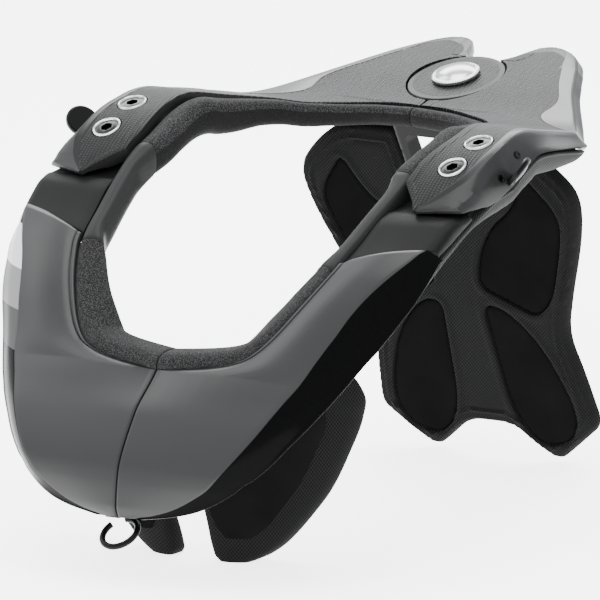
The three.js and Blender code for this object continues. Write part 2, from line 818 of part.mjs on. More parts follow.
// Chest pads with a raised panel on the front of each
function chestFace(across, down) {
  const x = across * chestHalfWidth;
  const z = -down * standHeight;
  const forward = chestBottomReach + chestLean * (z + standHeight);
  return new THREE.Vector3(x, -forward + (chestWrap * x * x) / (chestHalfWidth * 1.35), z);
}

function chestRing(row, front, thickness) {
  const stops = [0, 0.035, 0.16, 0.5, 0.84, 0.965, 1];
  const setIn = [0.5, 0.2, 0, 0, 0, 0.2, 0.5];
  const face = stops.map((stop, i) => {
    const point = chestFace(THREE.MathUtils.lerp(row.inner, row.outer, stop), row.down);
    point.y += -front + thickness * setIn[i] * 0.8;
    return point;
  });
  const back = stops.map((stop, i) => {
    const point = chestFace(THREE.MathUtils.lerp(row.inner, row.outer, stop), row.down);
    point.y += -front + thickness * (1 - setIn[i] * 0.8);
    return point;
  });
  return [...face, ...back.reverse()];
}

const chestBlank = loft(chestRows.map((row) => chestRing(row, 0, chestPadThickness)));
const rollShadowStations = rollStations(0.64, frontEnd);
const rollShadow = loft(rollShadowStations.map((along) => rollRing(along, clearance * 1.6)));
const panelFront = panelThickness + clearance;
const chestPanelLeft = loft(chestPanelRows.map((row) => chestRing(row, panelFront, panelThickness)));
const panelMargin = 0.012; // round the panel's seat, in shares of the pad
const panelSeatRows = chestPanelRows.map((row, i) => ({
  down: row.down + (i === 0 ? panelMargin / 2 : 0) - (i === chestPanelRows.length - 1 ? panelMargin / 2 : 0),
  inner: row.inner - panelMargin,
  outer: row.outer + panelMargin,
}));

function panelSeatRing(row) {
  return chestRing(row, panelFront + panelThickness * 2, panelFront + panelThickness * 2);
}

const panelSeat = loft(panelSeatRows.map(panelSeatRing));
const chestPadLeft = largest(cutFrom(chestBlank, shellShadow, rollShadow, panelSeat));

// Back support, built flat with its face at zero and then leant back
const backUp = new THREE.Vector3(0, -backLeanSlope, 1);
const backFacing = new THREE.Vector3(0, -1, -backLeanSlope).normalize();
const backPlace = new THREE.Matrix4()
  .makeBasis(new THREE.Vector3(1, 0, 0), backUp, backFacing)
  .setPosition(0, -backTopSetback, 0);

function plateOf(shape, low, high) {
  const plate = new THREE.ExtrudeGeometry(shape, { depth: high - low, bevelEnabled: false, curveSegments: 4 });
  return plate.translate(0, 0, low);
}

function mirroredOutline(outline) {
  const left = outline.filter(([across]) => across > 0);
  const middle = outline.filter(([across]) => across === 0);
  return [...left, ...middle, ...left.map(([across, ...rest]) => [-across, ...rest]).reverse()];
}

function grown(outline, width, drop, by) {
  const shape = roundedShape(outline, width, drop);
  const points = shape.getPoints(4);
  const unique = points.filter((point, i) => point.distanceTo(points[(i + 1) % points.length]) > 1e-3);
  const turn = THREE.ShapeUtils.area(unique) > 0 ? 1 : -1;
  return new THREE.Shape(
    unique.map((point, i) => {
      const before = unique[(i + unique.length - 1) % unique.length];
      const after = unique[(i + 1) % unique.length];
      const run = after.clone().sub(before).normalize();
      return new THREE.Vector2(point.x + run.y * by * turn, point.y - run.x * by * turn);
    }),
  );
}

const notch = grown(bracketOutline, halfWidth, standHeight, clearance);
const insetOutlines = { upper: upperInset, lower: lowerInset };

function insetPocket(outline) {
  return plateOf(grown(outline, halfWidth, standHeight, clearance), -insetDepth, 4);
}

function insetPad(outline) {
  const low = plateOf(roundedShape(outline, halfWidth, standHeight), -insetDepth + clearance, 0);
  const high = plateOf(grown(outline, halfWidth, standHeight, -insetEdge), -insetDepth + clearance, 0.9);
  return joined(low, high);
}

const pockets = Object.values(insetOutlines).map(insetPocket);
const backBlank = plateOf(roundedShape(mirroredOutline(backOutline), halfWidth, standHeight), -backThickness, 0);
const backSupport = cutFrom(
  backBlank,
  plateOf(notch, -20, 10),
  ...pockets,
  ...pockets.map(mirrored),
).applyMatrix4(backPlace);

// Bracket from the hub's underside down into the notch
const bracketTop = flangeTop - hubFlangeThickness - clearance;
const bracketBlank = cutFrom(
  plateOf(roundedShape(bracketOutline, halfWidth, standHeight), -backThickness, 0.8),
  plateOf(roundedShape(bracketWindow, halfWidth, standHeight), -20, 10),
).applyMatrix4(backPlace);
const spineBracket = cutFrom(bracketBlank, onHub(post(hubFlangeRadius * 2, bracketTop, 40, 32)));

// Screws
function screw(place) {
  const { seat, facing } = screwSeat(place);
  const head = turned(
    [
      [0, -screwDepth + clearance],
      [screwRadius, -screwDepth + clearance],
      [screwRadius, 0.5],
      [screwRadius - 0.8, 1.3],
      [screwSocket + 1.6, 1.3],
      [screwSocket + 1, 0.8],
      [0, 0.8],
    ],
    24,
  );
  return placed(cutFrom(head, post(screwSocket, -1.4, 4, 6)), facing, seat);
}

// Strap studs, each seated in a shallow pocket in the arm's side
const studCentre = new THREE.Vector3(
  studPlace.across * halfWidth,
  -studPlace.forward * frontReach,
  studPlace.up * chestDrop,
);
const studLeft = placed(
  turned(
    [
      [0, -studThickness / 2],
      [studRadius - 0.8, -studThickness / 2],
      [studRadius, -studThickness / 2 + 0.8],
      [studRadius, studThickness / 2 - 1],
      [studRadius * 0.8, studThickness / 2],
      [0, studThickness / 2 + 0.6],
    ],
    32,
  ),
  studFacing,
  studCentre,
);
const studPocket = placed(post(studRadius + clearance, -studThickness / 2 - clearance, 12, 32), studFacing, studCentre);
const wingWithPocket = cutFrom(wingLeft, studPocket);

// Latch block inside the chest end of the right half, and the pull ring that hangs from it
const ringCentre = new THREE.Vector3(0, -frontReach + 1.3, -chestDrop - 7.6);
const ringFacing = new THREE.Vector3(0, -Math.sin(ringTilt), Math.cos(ringTilt));
const ringOpening = THREE.MathUtils.degToRad(24); // half of the gap in the ring
const ringGapAt = THREE.MathUtils.degToRad(125); // measured from +X, up the ring
const ringSteps = 30;

function ringSection(step) {
  const sweep = Math.PI * 2 - ringOpening * 2;
  const angle = ringGapAt + ringOpening + (sweep * step) / ringSteps;
  const spoke = new THREE.Vector3(1, 0, 0).applyAxisAngle(ringFacing, angle);
  return Array.from({ length: 8 }, (_, i) => {
    const turn = (i / 8) * Math.PI * 2;
    return ringCentre
      .clone()
      .addScaledVector(spoke, ringRadius + ringWire * Math.cos(turn))
      .addScaledVector(ringFacing, ringWire * Math.sin(turn));
  });
}

const pullRing = loft(Array.from({ length: ringSteps + 1 }, (_, step) => ringSection(step)));
const ringTopWire = ringCentre
  .clone()
  .add(new THREE.Vector3(0, Math.cos(ringTilt), Math.sin(ringTilt)).multiplyScalar(ringRadius));
const latchHalf = 4.5;
const latchDepth = 8;
const latchHeight = 14;
const latchLow = ringTopWire.z + ringWire + clearance;
const latchBlock = new THREE.BoxGeometry(latchHalf * 2, latchDepth, latchHeight).translate(
  -latchHalf - seamGap,
  -frontReach + shellWall + latchDepth / 2 - 2,
  latchLow + latchHeight / 2,
);
const frontLatch = cutFrom(latchBlock, mirrored(shellShadow));

// Colours of the photo: dark mouldings, mesh cloth, foam, bright screws
const materials = {
  wing: new THREE.MeshStandardMaterial({ color: 0x2b2c2f, roughness: 0.5, metalness: 0 }),
  frame: new THREE.MeshStandardMaterial({ color: 0x222326, roughness: 0.6, metalness: 0 }),
  shell: new THREE.MeshStandardMaterial({ color: 0x3a3b3e, roughness: 0.35, metalness: 0 }),
  foam: new THREE.MeshStandardMaterial({ color: 0x1d1e20, roughness: 0.85, metalness: 0 }),
  pad: new THREE.MeshStandardMaterial({ color: 0x3c3d40, roughness: 0.95, metalness: 0 }),
  inset: new THREE.MeshStandardMaterial({ color: 0x101113, roughness: 0.55, metalness: 0 }),
  metal: new THREE.MeshStandardMaterial({ color: 0xb9bbbe, roughness: 0.25, metalness: 1 }),
  black: new THREE.MeshStandardMaterial({ color: 0x0f0f10, roughness: 0.4, metalness: 0 }),
};

const group = new THREE.Group();
group.name = 'neck_brace';

function add(name, geometry, material) {
  const solid = bare(geometry);
  solid.computeVertexNormals();
  const mesh = new THREE.Mesh(solid, material);
  mesh.name = name;
  group.add(mesh);
}

function addPair(name, geometry, material) {
  add(`${name}_left`, geometry, material);
  add(`${name}_right`, mirrored(geometry), material);
}

add('hub_plate', hubPlate, materials.wing);
add('hub_button', hubButton, materials.metal);
add('spine_bracket', spineBracket, materials.black);
add('back_support', backSupport, materials.pad);
Object.entries(insetOutlines).forEach(([name, outline]) => {
  addPair(`back_inset_${name}`, insetPad(outline).applyMatrix4(backPlace), materials.inset);
});
addPair('wing', wingWithPocket, materials.wing);
addPair('mid_frame', midFrameLeft, materials.frame);
addPair('front_shell', frontShellLeft, materials.shell);
addPair('foam_rear', collarFoamRearLeft, materials.foam);
addPair('inner_rim', innerRimLeft, materials.black);
addPair('foam_front', collarFoamFrontLeft, materials.foam);
Object.entries(screwPlaces).forEach(([name, place]) => addPair(`screw_${name}`, screw(place), materials.metal));
addPair('strap_stud', studLeft, materials.black);
addPair('shoulder_pad', shoulderPadLeft, materials.pad);
addPair('chest_pad', chestPadLeft, materials.pad);
addPair('chest_panel', chestPanelLeft, materials.inset);
add('front_latch', frontLatch, materials.black);
add('pull_ring', pullRing, materials.black);

// The origin is the middle of the box's underside
const bounds = new THREE.Box3().setFromObject(group);
const middle = bounds.getCenter(new THREE.Vector3());
group.children.forEach((mesh) => mesh.geometry.translate(-middle.x, -middle.y, -bounds.min.z));

export default group;
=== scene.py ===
# %% [markdown]
# # A motocross neck brace
#
# The brace is a stiff collar in two halves that swing on a hub behind the neck. Each half has a wing
# with an arm, a short frame below the arm, and a broad shell down to the chest. Foam rolls line the
# neck, cloth pads lie on the shoulders and chest, and a padded plate leans down the back.
# The measured solids are loaded first. Everything here is then made round them, in metres.

# %% Load the measured part
import json
import math

import bmesh
import bpy
import numpy as np
from mathutils import Matrix, Vector
from mathutils.geometry import delaunay_2d_cdt


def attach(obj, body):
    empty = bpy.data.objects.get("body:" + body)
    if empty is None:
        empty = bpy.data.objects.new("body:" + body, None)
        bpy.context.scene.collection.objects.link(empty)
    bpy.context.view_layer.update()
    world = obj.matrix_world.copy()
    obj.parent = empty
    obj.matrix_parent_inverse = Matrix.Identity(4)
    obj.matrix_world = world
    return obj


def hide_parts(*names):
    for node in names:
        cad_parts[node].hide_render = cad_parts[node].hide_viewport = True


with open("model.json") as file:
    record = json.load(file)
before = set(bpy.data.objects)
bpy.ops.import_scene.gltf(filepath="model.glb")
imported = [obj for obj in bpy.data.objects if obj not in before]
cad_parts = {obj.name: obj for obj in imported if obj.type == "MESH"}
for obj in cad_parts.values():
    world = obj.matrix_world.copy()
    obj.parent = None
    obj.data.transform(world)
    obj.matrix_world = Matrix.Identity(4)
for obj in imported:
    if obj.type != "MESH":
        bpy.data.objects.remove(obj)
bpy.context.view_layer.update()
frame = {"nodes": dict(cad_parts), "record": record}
joints = frame["record"]["behaviour"]["joints"]
HUB = np.array(joints[0]["pos_m"])
HUB_AXIS = Vector(joints[0]["axis"]).normalized()

# %% [markdown]
# ## The camera
#
# The photograph was taken from the wearer's front left, a little above, with a long lens. A long lens
# keeps far and near parts at nearly one size, so the camera stands well back and has a narrow view.
# Points that were compared fit best with the camera far away and rolled by a few degrees.

# %% Place the camera
VIEW_AZIMUTH = math.radians(37.9)
VIEW_ELEVATION = math.radians(12.5)
VIEW_ROLL = math.radians(-2.7)
VIEW_DISTANCE = 15
VIEW_LIMIT = 60
SENSOR_WIDTH = 36
FRAME_PIXELS = 600
HUB_PIXEL = (456.2, 76.5)
METRES_PER_PIXEL = 0.000531


def place_camera():
    back = Vector(
        (
            math.sin(VIEW_AZIMUTH) * math.cos(VIEW_ELEVATION),
            -math.cos(VIEW_AZIMUTH) * math.cos(VIEW_ELEVATION),
            math.sin(VIEW_ELEVATION),
        )
    )
    turn = (-back).to_track_quat("-Z", "Y").to_matrix() @ Matrix.Rotation(VIEW_ROLL, 3, "Z")
    right, up = turn.col[0], turn.col[1]
    middle = FRAME_PIXELS / 2
    aim = Vector(HUB) + right * (middle - HUB_PIXEL[0]) * METRES_PER_PIXEL
    aim -= up * (middle - HUB_PIXEL[1]) * METRES_PER_PIXEL
    camera = bpy.data.objects.new("camera", bpy.data.cameras.new("camera"))
    camera.data.sensor_width = SENSOR_WIDTH
    camera.data.lens = SENSOR_WIDTH * VIEW_DISTANCE / (FRAME_PIXELS * METRES_PER_PIXEL)
    camera.location = aim + back * VIEW_DISTANCE
    camera.rotation_mode = "QUATERNION"
    camera.rotation_quaternion = turn.to_quaternion()
    camera.data.clip_end = VIEW_LIMIT
    bpy.context.collection.objects.link(camera)
    bpy.context.scene.camera = camera
    return camera


camera = place_camera()
print("camera at", [round(v, 3) for v in camera.location], "lens", round(camera.data.lens))

# %% [markdown]
# ## The sheet that the collar's top lies on
#
# Seen from the side, the wings, frames and shells follow one line: up over the shoulders and down to the
# chest. A curve through a few measured points gives that line, as shares of how far the brace reaches
# forward and drops. Every hard piece is then told how far along the line, how far across and how deep
# below the top a point lies. That keeps neighbours flush without fitting them by eye.

# %% The side line and the sheet
MM = 0.001
HALF_WIDTH = 140
FRONT_REACH = 308
CHEST_DROP = 176.5
STAND_HEIGHT = 211
SEAM = 0.4  # from the middle plane to each half

SIDE_VIEW = [
    (-0.169, 0.057), (-0.081, 0.031), (0, 0), (0.107, -0.051), (0.162, -0.052), (0.214, -0.028),
    (0.292, 0.003), (0.36, 0.028), (0.416, 0.014), (0.474, -0.017), (0.536, -0.068),
    (0.604, -0.142), (0.662, -0.215), (0.711, -0.272), (0.744, -0.32), (0.789, -0.402),
    (0.854, -0.544), (0.899, -0.635), (0.937, -0.714), (0.976, -0.816), (0.99, -0.884), (1, -1),
]


def curve_through(points, steps=60):
    """A smooth line through points, with steps pieces from each to the next."""
    points = np.array(points, float)
    padded = np.vstack([points[0], points, points[-1]])
    t = np.linspace(0, 1, steps, endpoint=False)[:, None]
    pieces = []
    for a, b, c, d in zip(padded, padded[1:], padded[2:], padded[3:]):
        lead_in, lead_out = (c - a) / 2, (d - b) / 2
        cubic = 2 * (b - c) + lead_in + lead_out
        square = 3 * (c - b) - 2 * lead_in - lead_out
        pieces.append(((cubic * t + square) * t + lead_in) * t + b)
    return np.vstack([*pieces, points[-1:]])


side_line = curve_through([(-forward * FRONT_REACH, up * CHEST_DROP) for forward, up in SIDE_VIEW])
side_steps = np.linalg.norm(np.diff(side_line, axis=0), axis=1)
side_length = side_steps.sum()
side_along = np.concatenate([[0], np.cumsum(side_steps)]) / side_length
side_ahead = np.gradient(side_line, side_along, axis=0)
side_ahead /= np.linalg.norm(side_ahead, axis=1)[:, None]


def on_sheet(x, along, depth):
    """Points of the sheet in millimetres from the hub, each moved straight into it by depth."""
    x, along, depth = np.broadcast_arrays(x, along, depth)
    place = [np.interp(along, side_along, side_line[:, i]) for i in (0, 1)]
    ahead = [np.interp(along, side_along, side_ahead[:, i]) for i in (0, 1)]
    return np.stack([x, place[0] - ahead[1] * depth, place[1] + ahead[0] * depth], -1)


print("side line", round(float(side_length), 1), "mm long")

# %% [markdown]
# ## Tables and smooth columns
#
# A table has one row for each section that was measured. Between the rows a value should run smoothly
# but never swing past its neighbours, or a flat edge would get a bulge. A monotone cubic does that, so
# every column is read through one.

# %% Read a column of a table
def smooth_at(rows, columns, name, at):
    """A column of the table at places along it, without overshoot."""
    table = np.array(rows, float)
    x, y = table[:, 0], table[:, columns.index(name)]
    gaps = np.diff(x)
    slopes = np.diff(y) / gaps
    lean = np.zeros_like(y)
    for i in range(1, len(y) - 1):
        if slopes[i - 1] * slopes[i] > 0:
            before = 2 * gaps[i] + gaps[i - 1]
            after = gaps[i] + 2 * gaps[i - 1]
            lean[i] = (before + after) / (before / slopes[i - 1] + after / slopes[i])
    lean[0], lean[-1] = slopes[0], slopes[-1]
    at = np.clip(at, x[0], x[-1])
    row = np.clip(np.searchsorted(x, at, side="right") - 1, 0, len(gaps) - 1)
    t = (at - x[row]) / gaps[row]
    t2, t3 = t * t, t * t * t
    return (
        (2 * t3 - 3 * t2 + 1) * y[row]
        + (t3 - 2 * t2 + t) * gaps[row] * lean[row]
        + (3 * t2 - 2 * t3) * y[row + 1]
        + (t3 - t2) * gaps[row] * lean[row + 1]
    )


def all_columns(rows, columns, at):
    """Every column of a table at places along it, by name."""
    return {name: smooth_at(rows, columns, name, at) for name in columns}


NECK_EDGE = [
    (0.1942, 0.003), (0.1953, 0.114), (0.2032, 0.233), (0.2188, 0.364), (0.2323, 0.414),
    (0.2553, 0.493), (0.2897, 0.55), (0.3263, 0.6), (0.3584, 0.657), (0.4035, 0.679),
    (0.4428, 0.669), (0.4717, 0.659), (0.5083, 0.662), (0.5788, 0.639), (0.6438, 0.612),
    (0.673, 0.586), (0.7179, 0.525), (0.7606, 0.449), (0.7857, 0.374), (0.7979, 0.283),
    (0.8047, 0.183), (0.8087, 0.099), (0.8127, 0.003),
]
NECK_BACK, NECK_FRONT = NECK_EDGE[0][0], NECK_EDGE[-1][0]
neck_curve = curve_through(NECK_EDGE, 20)


def neck_x(along):
    """How far from the middle the edge round the neck is, in millimetres."""
    across = np.interp(along, neck_curve[:, 0], neck_curve[:, 1]) * HALF_WIDTH
    return np.where(np.asarray(along) > NECK_FRONT, SEAM, np.maximum(across, SEAM))


print("neck opening", round(float(2 * neck_x(np.array(0.4035))), 1), "mm between the frames")

# %% [markdown]
# ## Meshes from rings
#
# A moulded shell could be sculpted, but its sections are known, so it is lofted: one closed ring of
# points for each step along the sheet, joined to the next, with both ends filled. The corners of a ring
# are rounded first, because a real moulding has no knife edges and a rounded edge catches the light.

# %% Helpers for rings, lofts and objects
def rounded(corners, steps=3):
    """Rings with rounded corners. Each corner is (x, y, radius), where each may be one value a row."""
    rows = max(np.size(value) for corner in corners for value in corner)
    grid = np.array([[np.broadcast_to(value, rows) for value in corner] for corner in corners], float)
    points, radius = np.moveaxis(grid[:, :2], 1, 2), grid[:, 2]
    rings = []
    for i, point in enumerate(points):
        to_before = points[i - 1] - point
        to_after = points[(i + 1) % len(points)] - point
        reach = []
        for leg in (to_before, to_after):
            length = np.linalg.norm(leg, axis=1) + 1e-9
            reach.append(leg / length[:, None] * np.minimum(radius[i], length * 0.48)[:, None])
        for t in np.linspace(0, 1, steps):
            rings.append(point + reach[0] * (1 - t) ** 2 + reach[1] * t**2)
    return np.moveaxis(np.array(rings), 0, 1)


def to_object(name, points, faces, finish, slots=None, sharp=35):
    """An object from points in millimetres from the hub."""
    mesh = bpy.data.meshes.new(name)
    mesh.from_pydata((np.asarray(points) * MM + HUB).tolist(), [], faces)
    finishes = finish if isinstance(finish, list) else [finish]
    for one in finishes:
        mesh.materials.append(one)
    if slots is not None:
        mesh.polygons.foreach_set("material_index", slots)
    mesh.validate()
    bm = bmesh.new()
    bm.from_mesh(mesh)
    bmesh.ops.remove_doubles(bm, verts=bm.verts, dist=1e-6)
    bmesh.ops.recalc_face_normals(bm, faces=bm.faces)
    bm.to_mesh(mesh)
    bm.free()
    mesh.shade_smooth()
    mesh.set_sharp_from_angle(angle=math.radians(sharp))
    made = bpy.data.objects.new(name, mesh)
    bpy.context.collection.objects.link(made)
    return made


def joined(name, rings, finish, slot_at, ends, sharp):
    """A closed body through rings of equally many points. slot_at(row, i) picks a face's finish."""
    rows, count = len(rings), len(rings[0])
    faces, slots = [], []
    for row in range(rows - 1):
        for i in range(count):
            a, b = row * count + i, row * count + (i + 1) % count
            faces.append((a, b, b + count, a + count))
            slots.append(slot_at(row, i))
    faces.append(tuple(range(count))[::-1])
    faces.append(tuple(range((rows - 1) * count, rows * count)))
    return to_object(name, np.concatenate(rings), faces, finish, slots + ends, sharp)


def loft(name, rings, finish, ring_slots=None, sharp=35):
    """A closed body whose finishes run along it, one for each point of a ring."""
    picks = ring_slots or [0] * len(rings[0])
    return joined(name, rings, finish, lambda row, i: picks[i], [0, 0], sharp)


def mirror(made, name):
    """A copy on the other side of the middle plane."""
    copy = made.copy()
    copy.data = made.data.copy()
    copy.name = copy.data.name = name
    copy.data.transform(Matrix.Scale(-1, 4, (1, 0, 0)))
    copy.data.flip_normals()
    bpy.context.collection.objects.link(copy)
    return copy


def cut(made, cutters, keep_cutters=False):
    """Takes the cutters' shapes out of an object."""
    bpy.context.view_layer.objects.active = made
    for cutter in cutters:
        step = made.modifiers.new("cut", "BOOLEAN")
        step.operation = "DIFFERENCE"
        step.solver = "EXACT"
        step.object = cutter
        bpy.ops.object.modifier_apply(modifier=step.name)
        if not keep_cutters:
            bpy.data.objects.remove(cutter)
    made.data.set_sharp_from_angle(angle=math.radians(35))
    return made


def facing_matrix(place, facing, side=(0, 0, 1)):
    """The placing whose Z runs along facing, from a place in millimetres from the hub."""
    forward = Vector(facing).normalized()
    across = Vector(side).cross(forward)
    if across.length < 1e-3:
        across = Vector((1, 0, 0))
    across.normalize()
    turn = Matrix((across, forward.cross(across), forward)).transposed()
    return Matrix.Translation(Vector(np.asarray(place) * MM + HUB)) @ turn.to_4x4()


def turned(name, profile, finish, place, facing, sides=64, sharp=30, slots=None):
    """A turned body: a profile of (radius, height) in millimetres, swept round an axis."""
    angles = np.linspace(0, 2 * math.pi, sides, endpoint=False)
    rings = [
        np.stack([radius * np.cos(angles), radius * np.sin(angles), np.full(sides, height)], 1)
        for radius, height in profile
    ]
    picks = slots or [0] * len(rings)
    made = joined(name, rings, finish, lambda row, i: picks[row], [picks[0], picks[-1]], sharp)
    made.data.transform(Matrix.Translation(-Vector(HUB)))
    made.data.transform(facing_matrix(place, facing))
    return made


def dress(made, body, slot, *nodes):
    """The piece moves with a body and stands for the named solids; its slot is not used."""
    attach(made, body)
    if nodes:
        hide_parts(*nodes)
    return made


def dress_pair(made, name, slot, bodies=("left_half", "right_half")):
    """A left piece and its mirror image, each for its own solid and body."""
    made.name = made.data.name = f"{name}_made_left"
    other = mirror(made, f"{name}_made_right")
    for piece, body, side in zip((made, other), bodies, ("left", "right")):
        dress(piece, body, slot, f"{name}_{side}")
    return made, other


print("helpers ready")

# %% [markdown]
# ## Sums on sockets
#
# A finish mixes patterns with sums, and a long chain of Math nodes is hard to read when each is made by
# hand. So a small class wraps a socket: writing 1 - pattern * 0.5 adds the nodes. Any other node comes
# from one method that takes its type, its settings and what its sockets get.

# %% The socket class and the finish class
def math_node(operation, swap=False):
    """A method that adds a Math node between a socket and another one or a number."""

    def method(self, other=None):
        node = self.tree.nodes.new("ShaderNodeMath")
        node.operation = operation
        for socket, value in zip(node.inputs, (other, self) if swap else (self, other)):
            if isinstance(value, Wire):
                self.tree.links.new(value.socket, socket)
            elif value is not None:
                socket.default_value = value
        return Wire(self.tree, node.outputs[0])

    return method


class Wire:
    """A socket that sums can be written on."""

    def __init__(self, tree, socket):
        self.tree = tree
        self.socket = socket

    __add__ = math_node("ADD")
    __radd__ = math_node("ADD", swap=True)
    __sub__ = math_node("SUBTRACT")
    __rsub__ = math_node("SUBTRACT", swap=True)
    __mul__ = math_node("MULTIPLY")
    __lt__ = math_node("LESS_THAN")
    __gt__ = math_node("GREATER_THAN")
    sine = math_node("SINE")
    size = math_node("ABSOLUTE")


class Finish:
    """A material and the nodes that feed its shader."""

    def __init__(self, name, **fixed):
        self.material = bpy.data.materials.new(name)
        self.material.use_nodes = True
        self.tree = self.material.node_tree
        self.shader = self.tree.nodes["Principled BSDF"]
        for socket, value in fixed.items():
            self.shader.inputs[socket.replace("_", " ")].default_value = value

    def node(self, kind, settings=None, output=0, **inputs):
        made = self.tree.nodes.new("ShaderNode" + kind)
        for name, value in (settings or {}).items():
            if name == "stops":
                self._stops(made, value)
            else:
                setattr(made, name, value)
        for name, value in inputs.items():
            key = int(name[1:]) if name[0] == "i" and name[1:].isdigit() else name.replace("_", " ")
            if isinstance(value, Wire):
                self.tree.links.new(value.socket, made.inputs[key])
            else:
                made.inputs[key].default_value = value
        return Wire(self.tree, made.outputs[output])

    def _stops(self, ramp, stops):
        elements = ramp.color_ramp.elements
        while len(elements) < len(stops):
            elements.new(0.5)
        for element, (position, color) in zip(elements, stops):
            element.position = position
            element.color = (*color, 1)

    def place(self):
        """The object's own coordinates, in metres."""
        return self.node("TexCoord", output=3)

    def axis(self, place, name):
        return self.node("SeparateXYZ", output="XYZ".index(name), Vector=place)

    def grain(self, place, scale, detail=2.0, roughness=0.5):
        return self.node("TexNoise", Vector=place, Scale=scale, Detail=detail, Roughness=roughness)

    def blend(self, amount, dark, light):
        """A colour between two others."""
        settings = {"data_type": "RGBA"}
        return self.node("Mix", settings, output=2, i0=amount, i6=dark, i7=light)

    def feed(self, socket, value):
        self.tree.links.new(value.socket, self.shader.inputs[socket])

    def paint(self, amount, dark, light, gloss, spread):
        """A grey and a roughness that both follow a pattern."""
        self.feed("Base Color", self.blend(amount, grey(dark), grey(light)))
        self.feed("Roughness", gloss + amount * spread)

    def dull(self, amount, color):
        """Let a matt shader take over by an amount."""
        matt = self.node("BsdfDiffuse", Color=color, Roughness=0.5)
        mixed = self.tree.nodes.new("ShaderNodeMixShader")
        self.tree.links.new(amount.socket, mixed.inputs[0])
        self.tree.links.new(self.shader.outputs[0], mixed.inputs[1])
        self.tree.links.new(matt.socket, mixed.inputs[2])
        self.tree.links.new(mixed.outputs[0], self.tree.nodes["Material Output"].inputs["Surface"])

    def relief(self, height, strength, distance=0.0005):
        """Low relief from a height, felt by the light only."""
        bump = self.node("Bump", Height=height, Strength=strength, Distance=distance)
        self.feed("Normal", bump)


def grey(value):
    """A grey, as a colour with full alpha."""
    return (value, value, value, 1)


print("sums and finishes ready")

# %% [markdown]
# ## Finishes
#
# Almost everything is dark, so the finishes have to differ in gloss and grain rather than in colour: a
# satin shell with a glossy black bevel, a wing with a fine embossed weave, speckled foam, open mesh cloth,
# smooth synthetic leather and bright screws. Each is built from noise, waves and sums in the object's own
# space, so nothing depends on where the camera stands. A few also carry painted light: a paler painted
# sheen on the wing's border and the band at its horn, painted shade down the arm and on the foam rolls'
# lower inner side.

# %% Plastic finishes
def shell_finish():
    finish = Finish("satin shell", Specular_IOR_Level=0.22, Coat_Weight=0.03, Coat_Roughness=0.2)
    place = finish.place()
    cloud = finish.grain(place, 9)
    fine = finish.grain(place, 900, 3)
    finish.feed("Base Color", finish.blend(cloud, grey(0.0125), grey(0.0165)))
    finish.feed("Roughness", 0.33 + fine * 0.08)
    finish.relief(fine, 0.05, 0.0002)
    return finish.material


BLOCKS = [(0.144, 0.163, 0.5), (0.126, 0.144, 0.16), (0.108, 0.126, 0.05)]  # from, to and tone
BLOCK_SIDE = -0.05  # the blocks lie beyond this X


def bevel_finish():
    """Near black, with three paler blocks one under the other on the wearer's right side only."""
    finish = Finish("black bevel", Specular_IOR_Level=0.02, Coat_Weight=0.01, Coat_Roughness=0.1)
    place = finish.place()
    fine = finish.grain(place, 700, 2)
    height = finish.axis(place, "Z")
    right = finish.axis(place, "X") < BLOCK_SIDE
    tone = finish.blend(fine, grey(0.0008), grey(0.0018))
    for low, high, block in BLOCKS:
        tone = finish.blend((height > low) * (height < high) * right, tone, grey(block))
    finish.feed("Base Color", tone)
    finish.feed("Roughness", 0.2 + fine * 0.08)
    return finish.material


# Where the painted shade down the arm starts and where it is full, forward in metres.
ARM_SHADE_SPAN = [HUB[1] + on_sheet(HALF_WIDTH * 0.8, along, 0)[1] * MM for along in (0.36, 0.5)]
HORN_CENTRE = HUB * 1000 + on_sheet(HALF_WIDTH * 0.24, 0.066, 0)
# The horn's smooth band is painted paler, as a sheen.
HORN_BOW = 17.5  # from that centre to the smooth band at the horn's end


def painted_arm_shade(finish, most):
    """Painted shade: nought on the wing's plate, rising down the arm."""
    forward = finish.axis(finish.place(), "Y")
    return finish.node("MapRange", Value=forward, From_Min=ARM_SHADE_SPAN[0], From_Max=ARM_SHADE_SPAN[1], To_Max=most)


def wing_finish():
    """A fine weave, left out of a smooth band at the horn's end that is painted paler as a sheen, and with
    painted shade down the arm, where a matt dark grey takes over.
    """
    finish = Finish("embossed wing", Specular_IOR_Level=0.2, Coat_Weight=0.03, Coat_Roughness=0.25)
    place = finish.place()
    across = finish.axis(place, "X")
    forward = finish.axis(place, "Y")
    ribs = (across * 3000 + forward * 400).sine() * 0.5 + 0.5
    sideways = across.size() - HORN_CENTRE[0] * MM
    rearwards = forward - HORN_CENTRE[1] * MM
    bow = (sideways * sideways + rearwards * rearwards) > (HORN_BOW * MM) ** 2
    band = bow * (rearwards > 0)
    cells = ((forward * 4200 + (across * 1500).sine()).sine() * 0.3 + 0.7) * ribs * (1 - band)
    woven = finish.blend(cells, grey(0.001), grey(0.018))
    # Painted sheen: the smooth band at the horn's end is a paler grey than the weave.
    finish.feed("Base Color", finish.blend(band, woven, grey(0.05)))
    finish.feed("Roughness", 0.46 - cells * 0.14 - band * 0.14)
    finish.relief(cells, 0.6, 0.0005)
    # Painted shade: a matt dark grey takes over from the gloss down the arm.
    finish.dull(painted_arm_shade(finish, 0.62), grey(0.012))
    return finish.material


def edge_finish():
    """The smooth border of a wing's plate, painted paler as a sheen, and with painted shade down the arm."""
    finish = Finish("wing border sheen", Specular_IOR_Level=0.35, Coat_Weight=0.08, Coat_Roughness=0.15)
    fine = finish.grain(finish.place(), 500, 2)
    # Painted sheen: the border's grey is paler than the weave beside it.
    finish.paint(fine, 0.045, 0.06, 0.26, 0.08)
    # Painted shade: a matt dark grey takes over down the arm.
    finish.dull(painted_arm_shade(finish, 0.9), grey(0.016))
    return finish.material


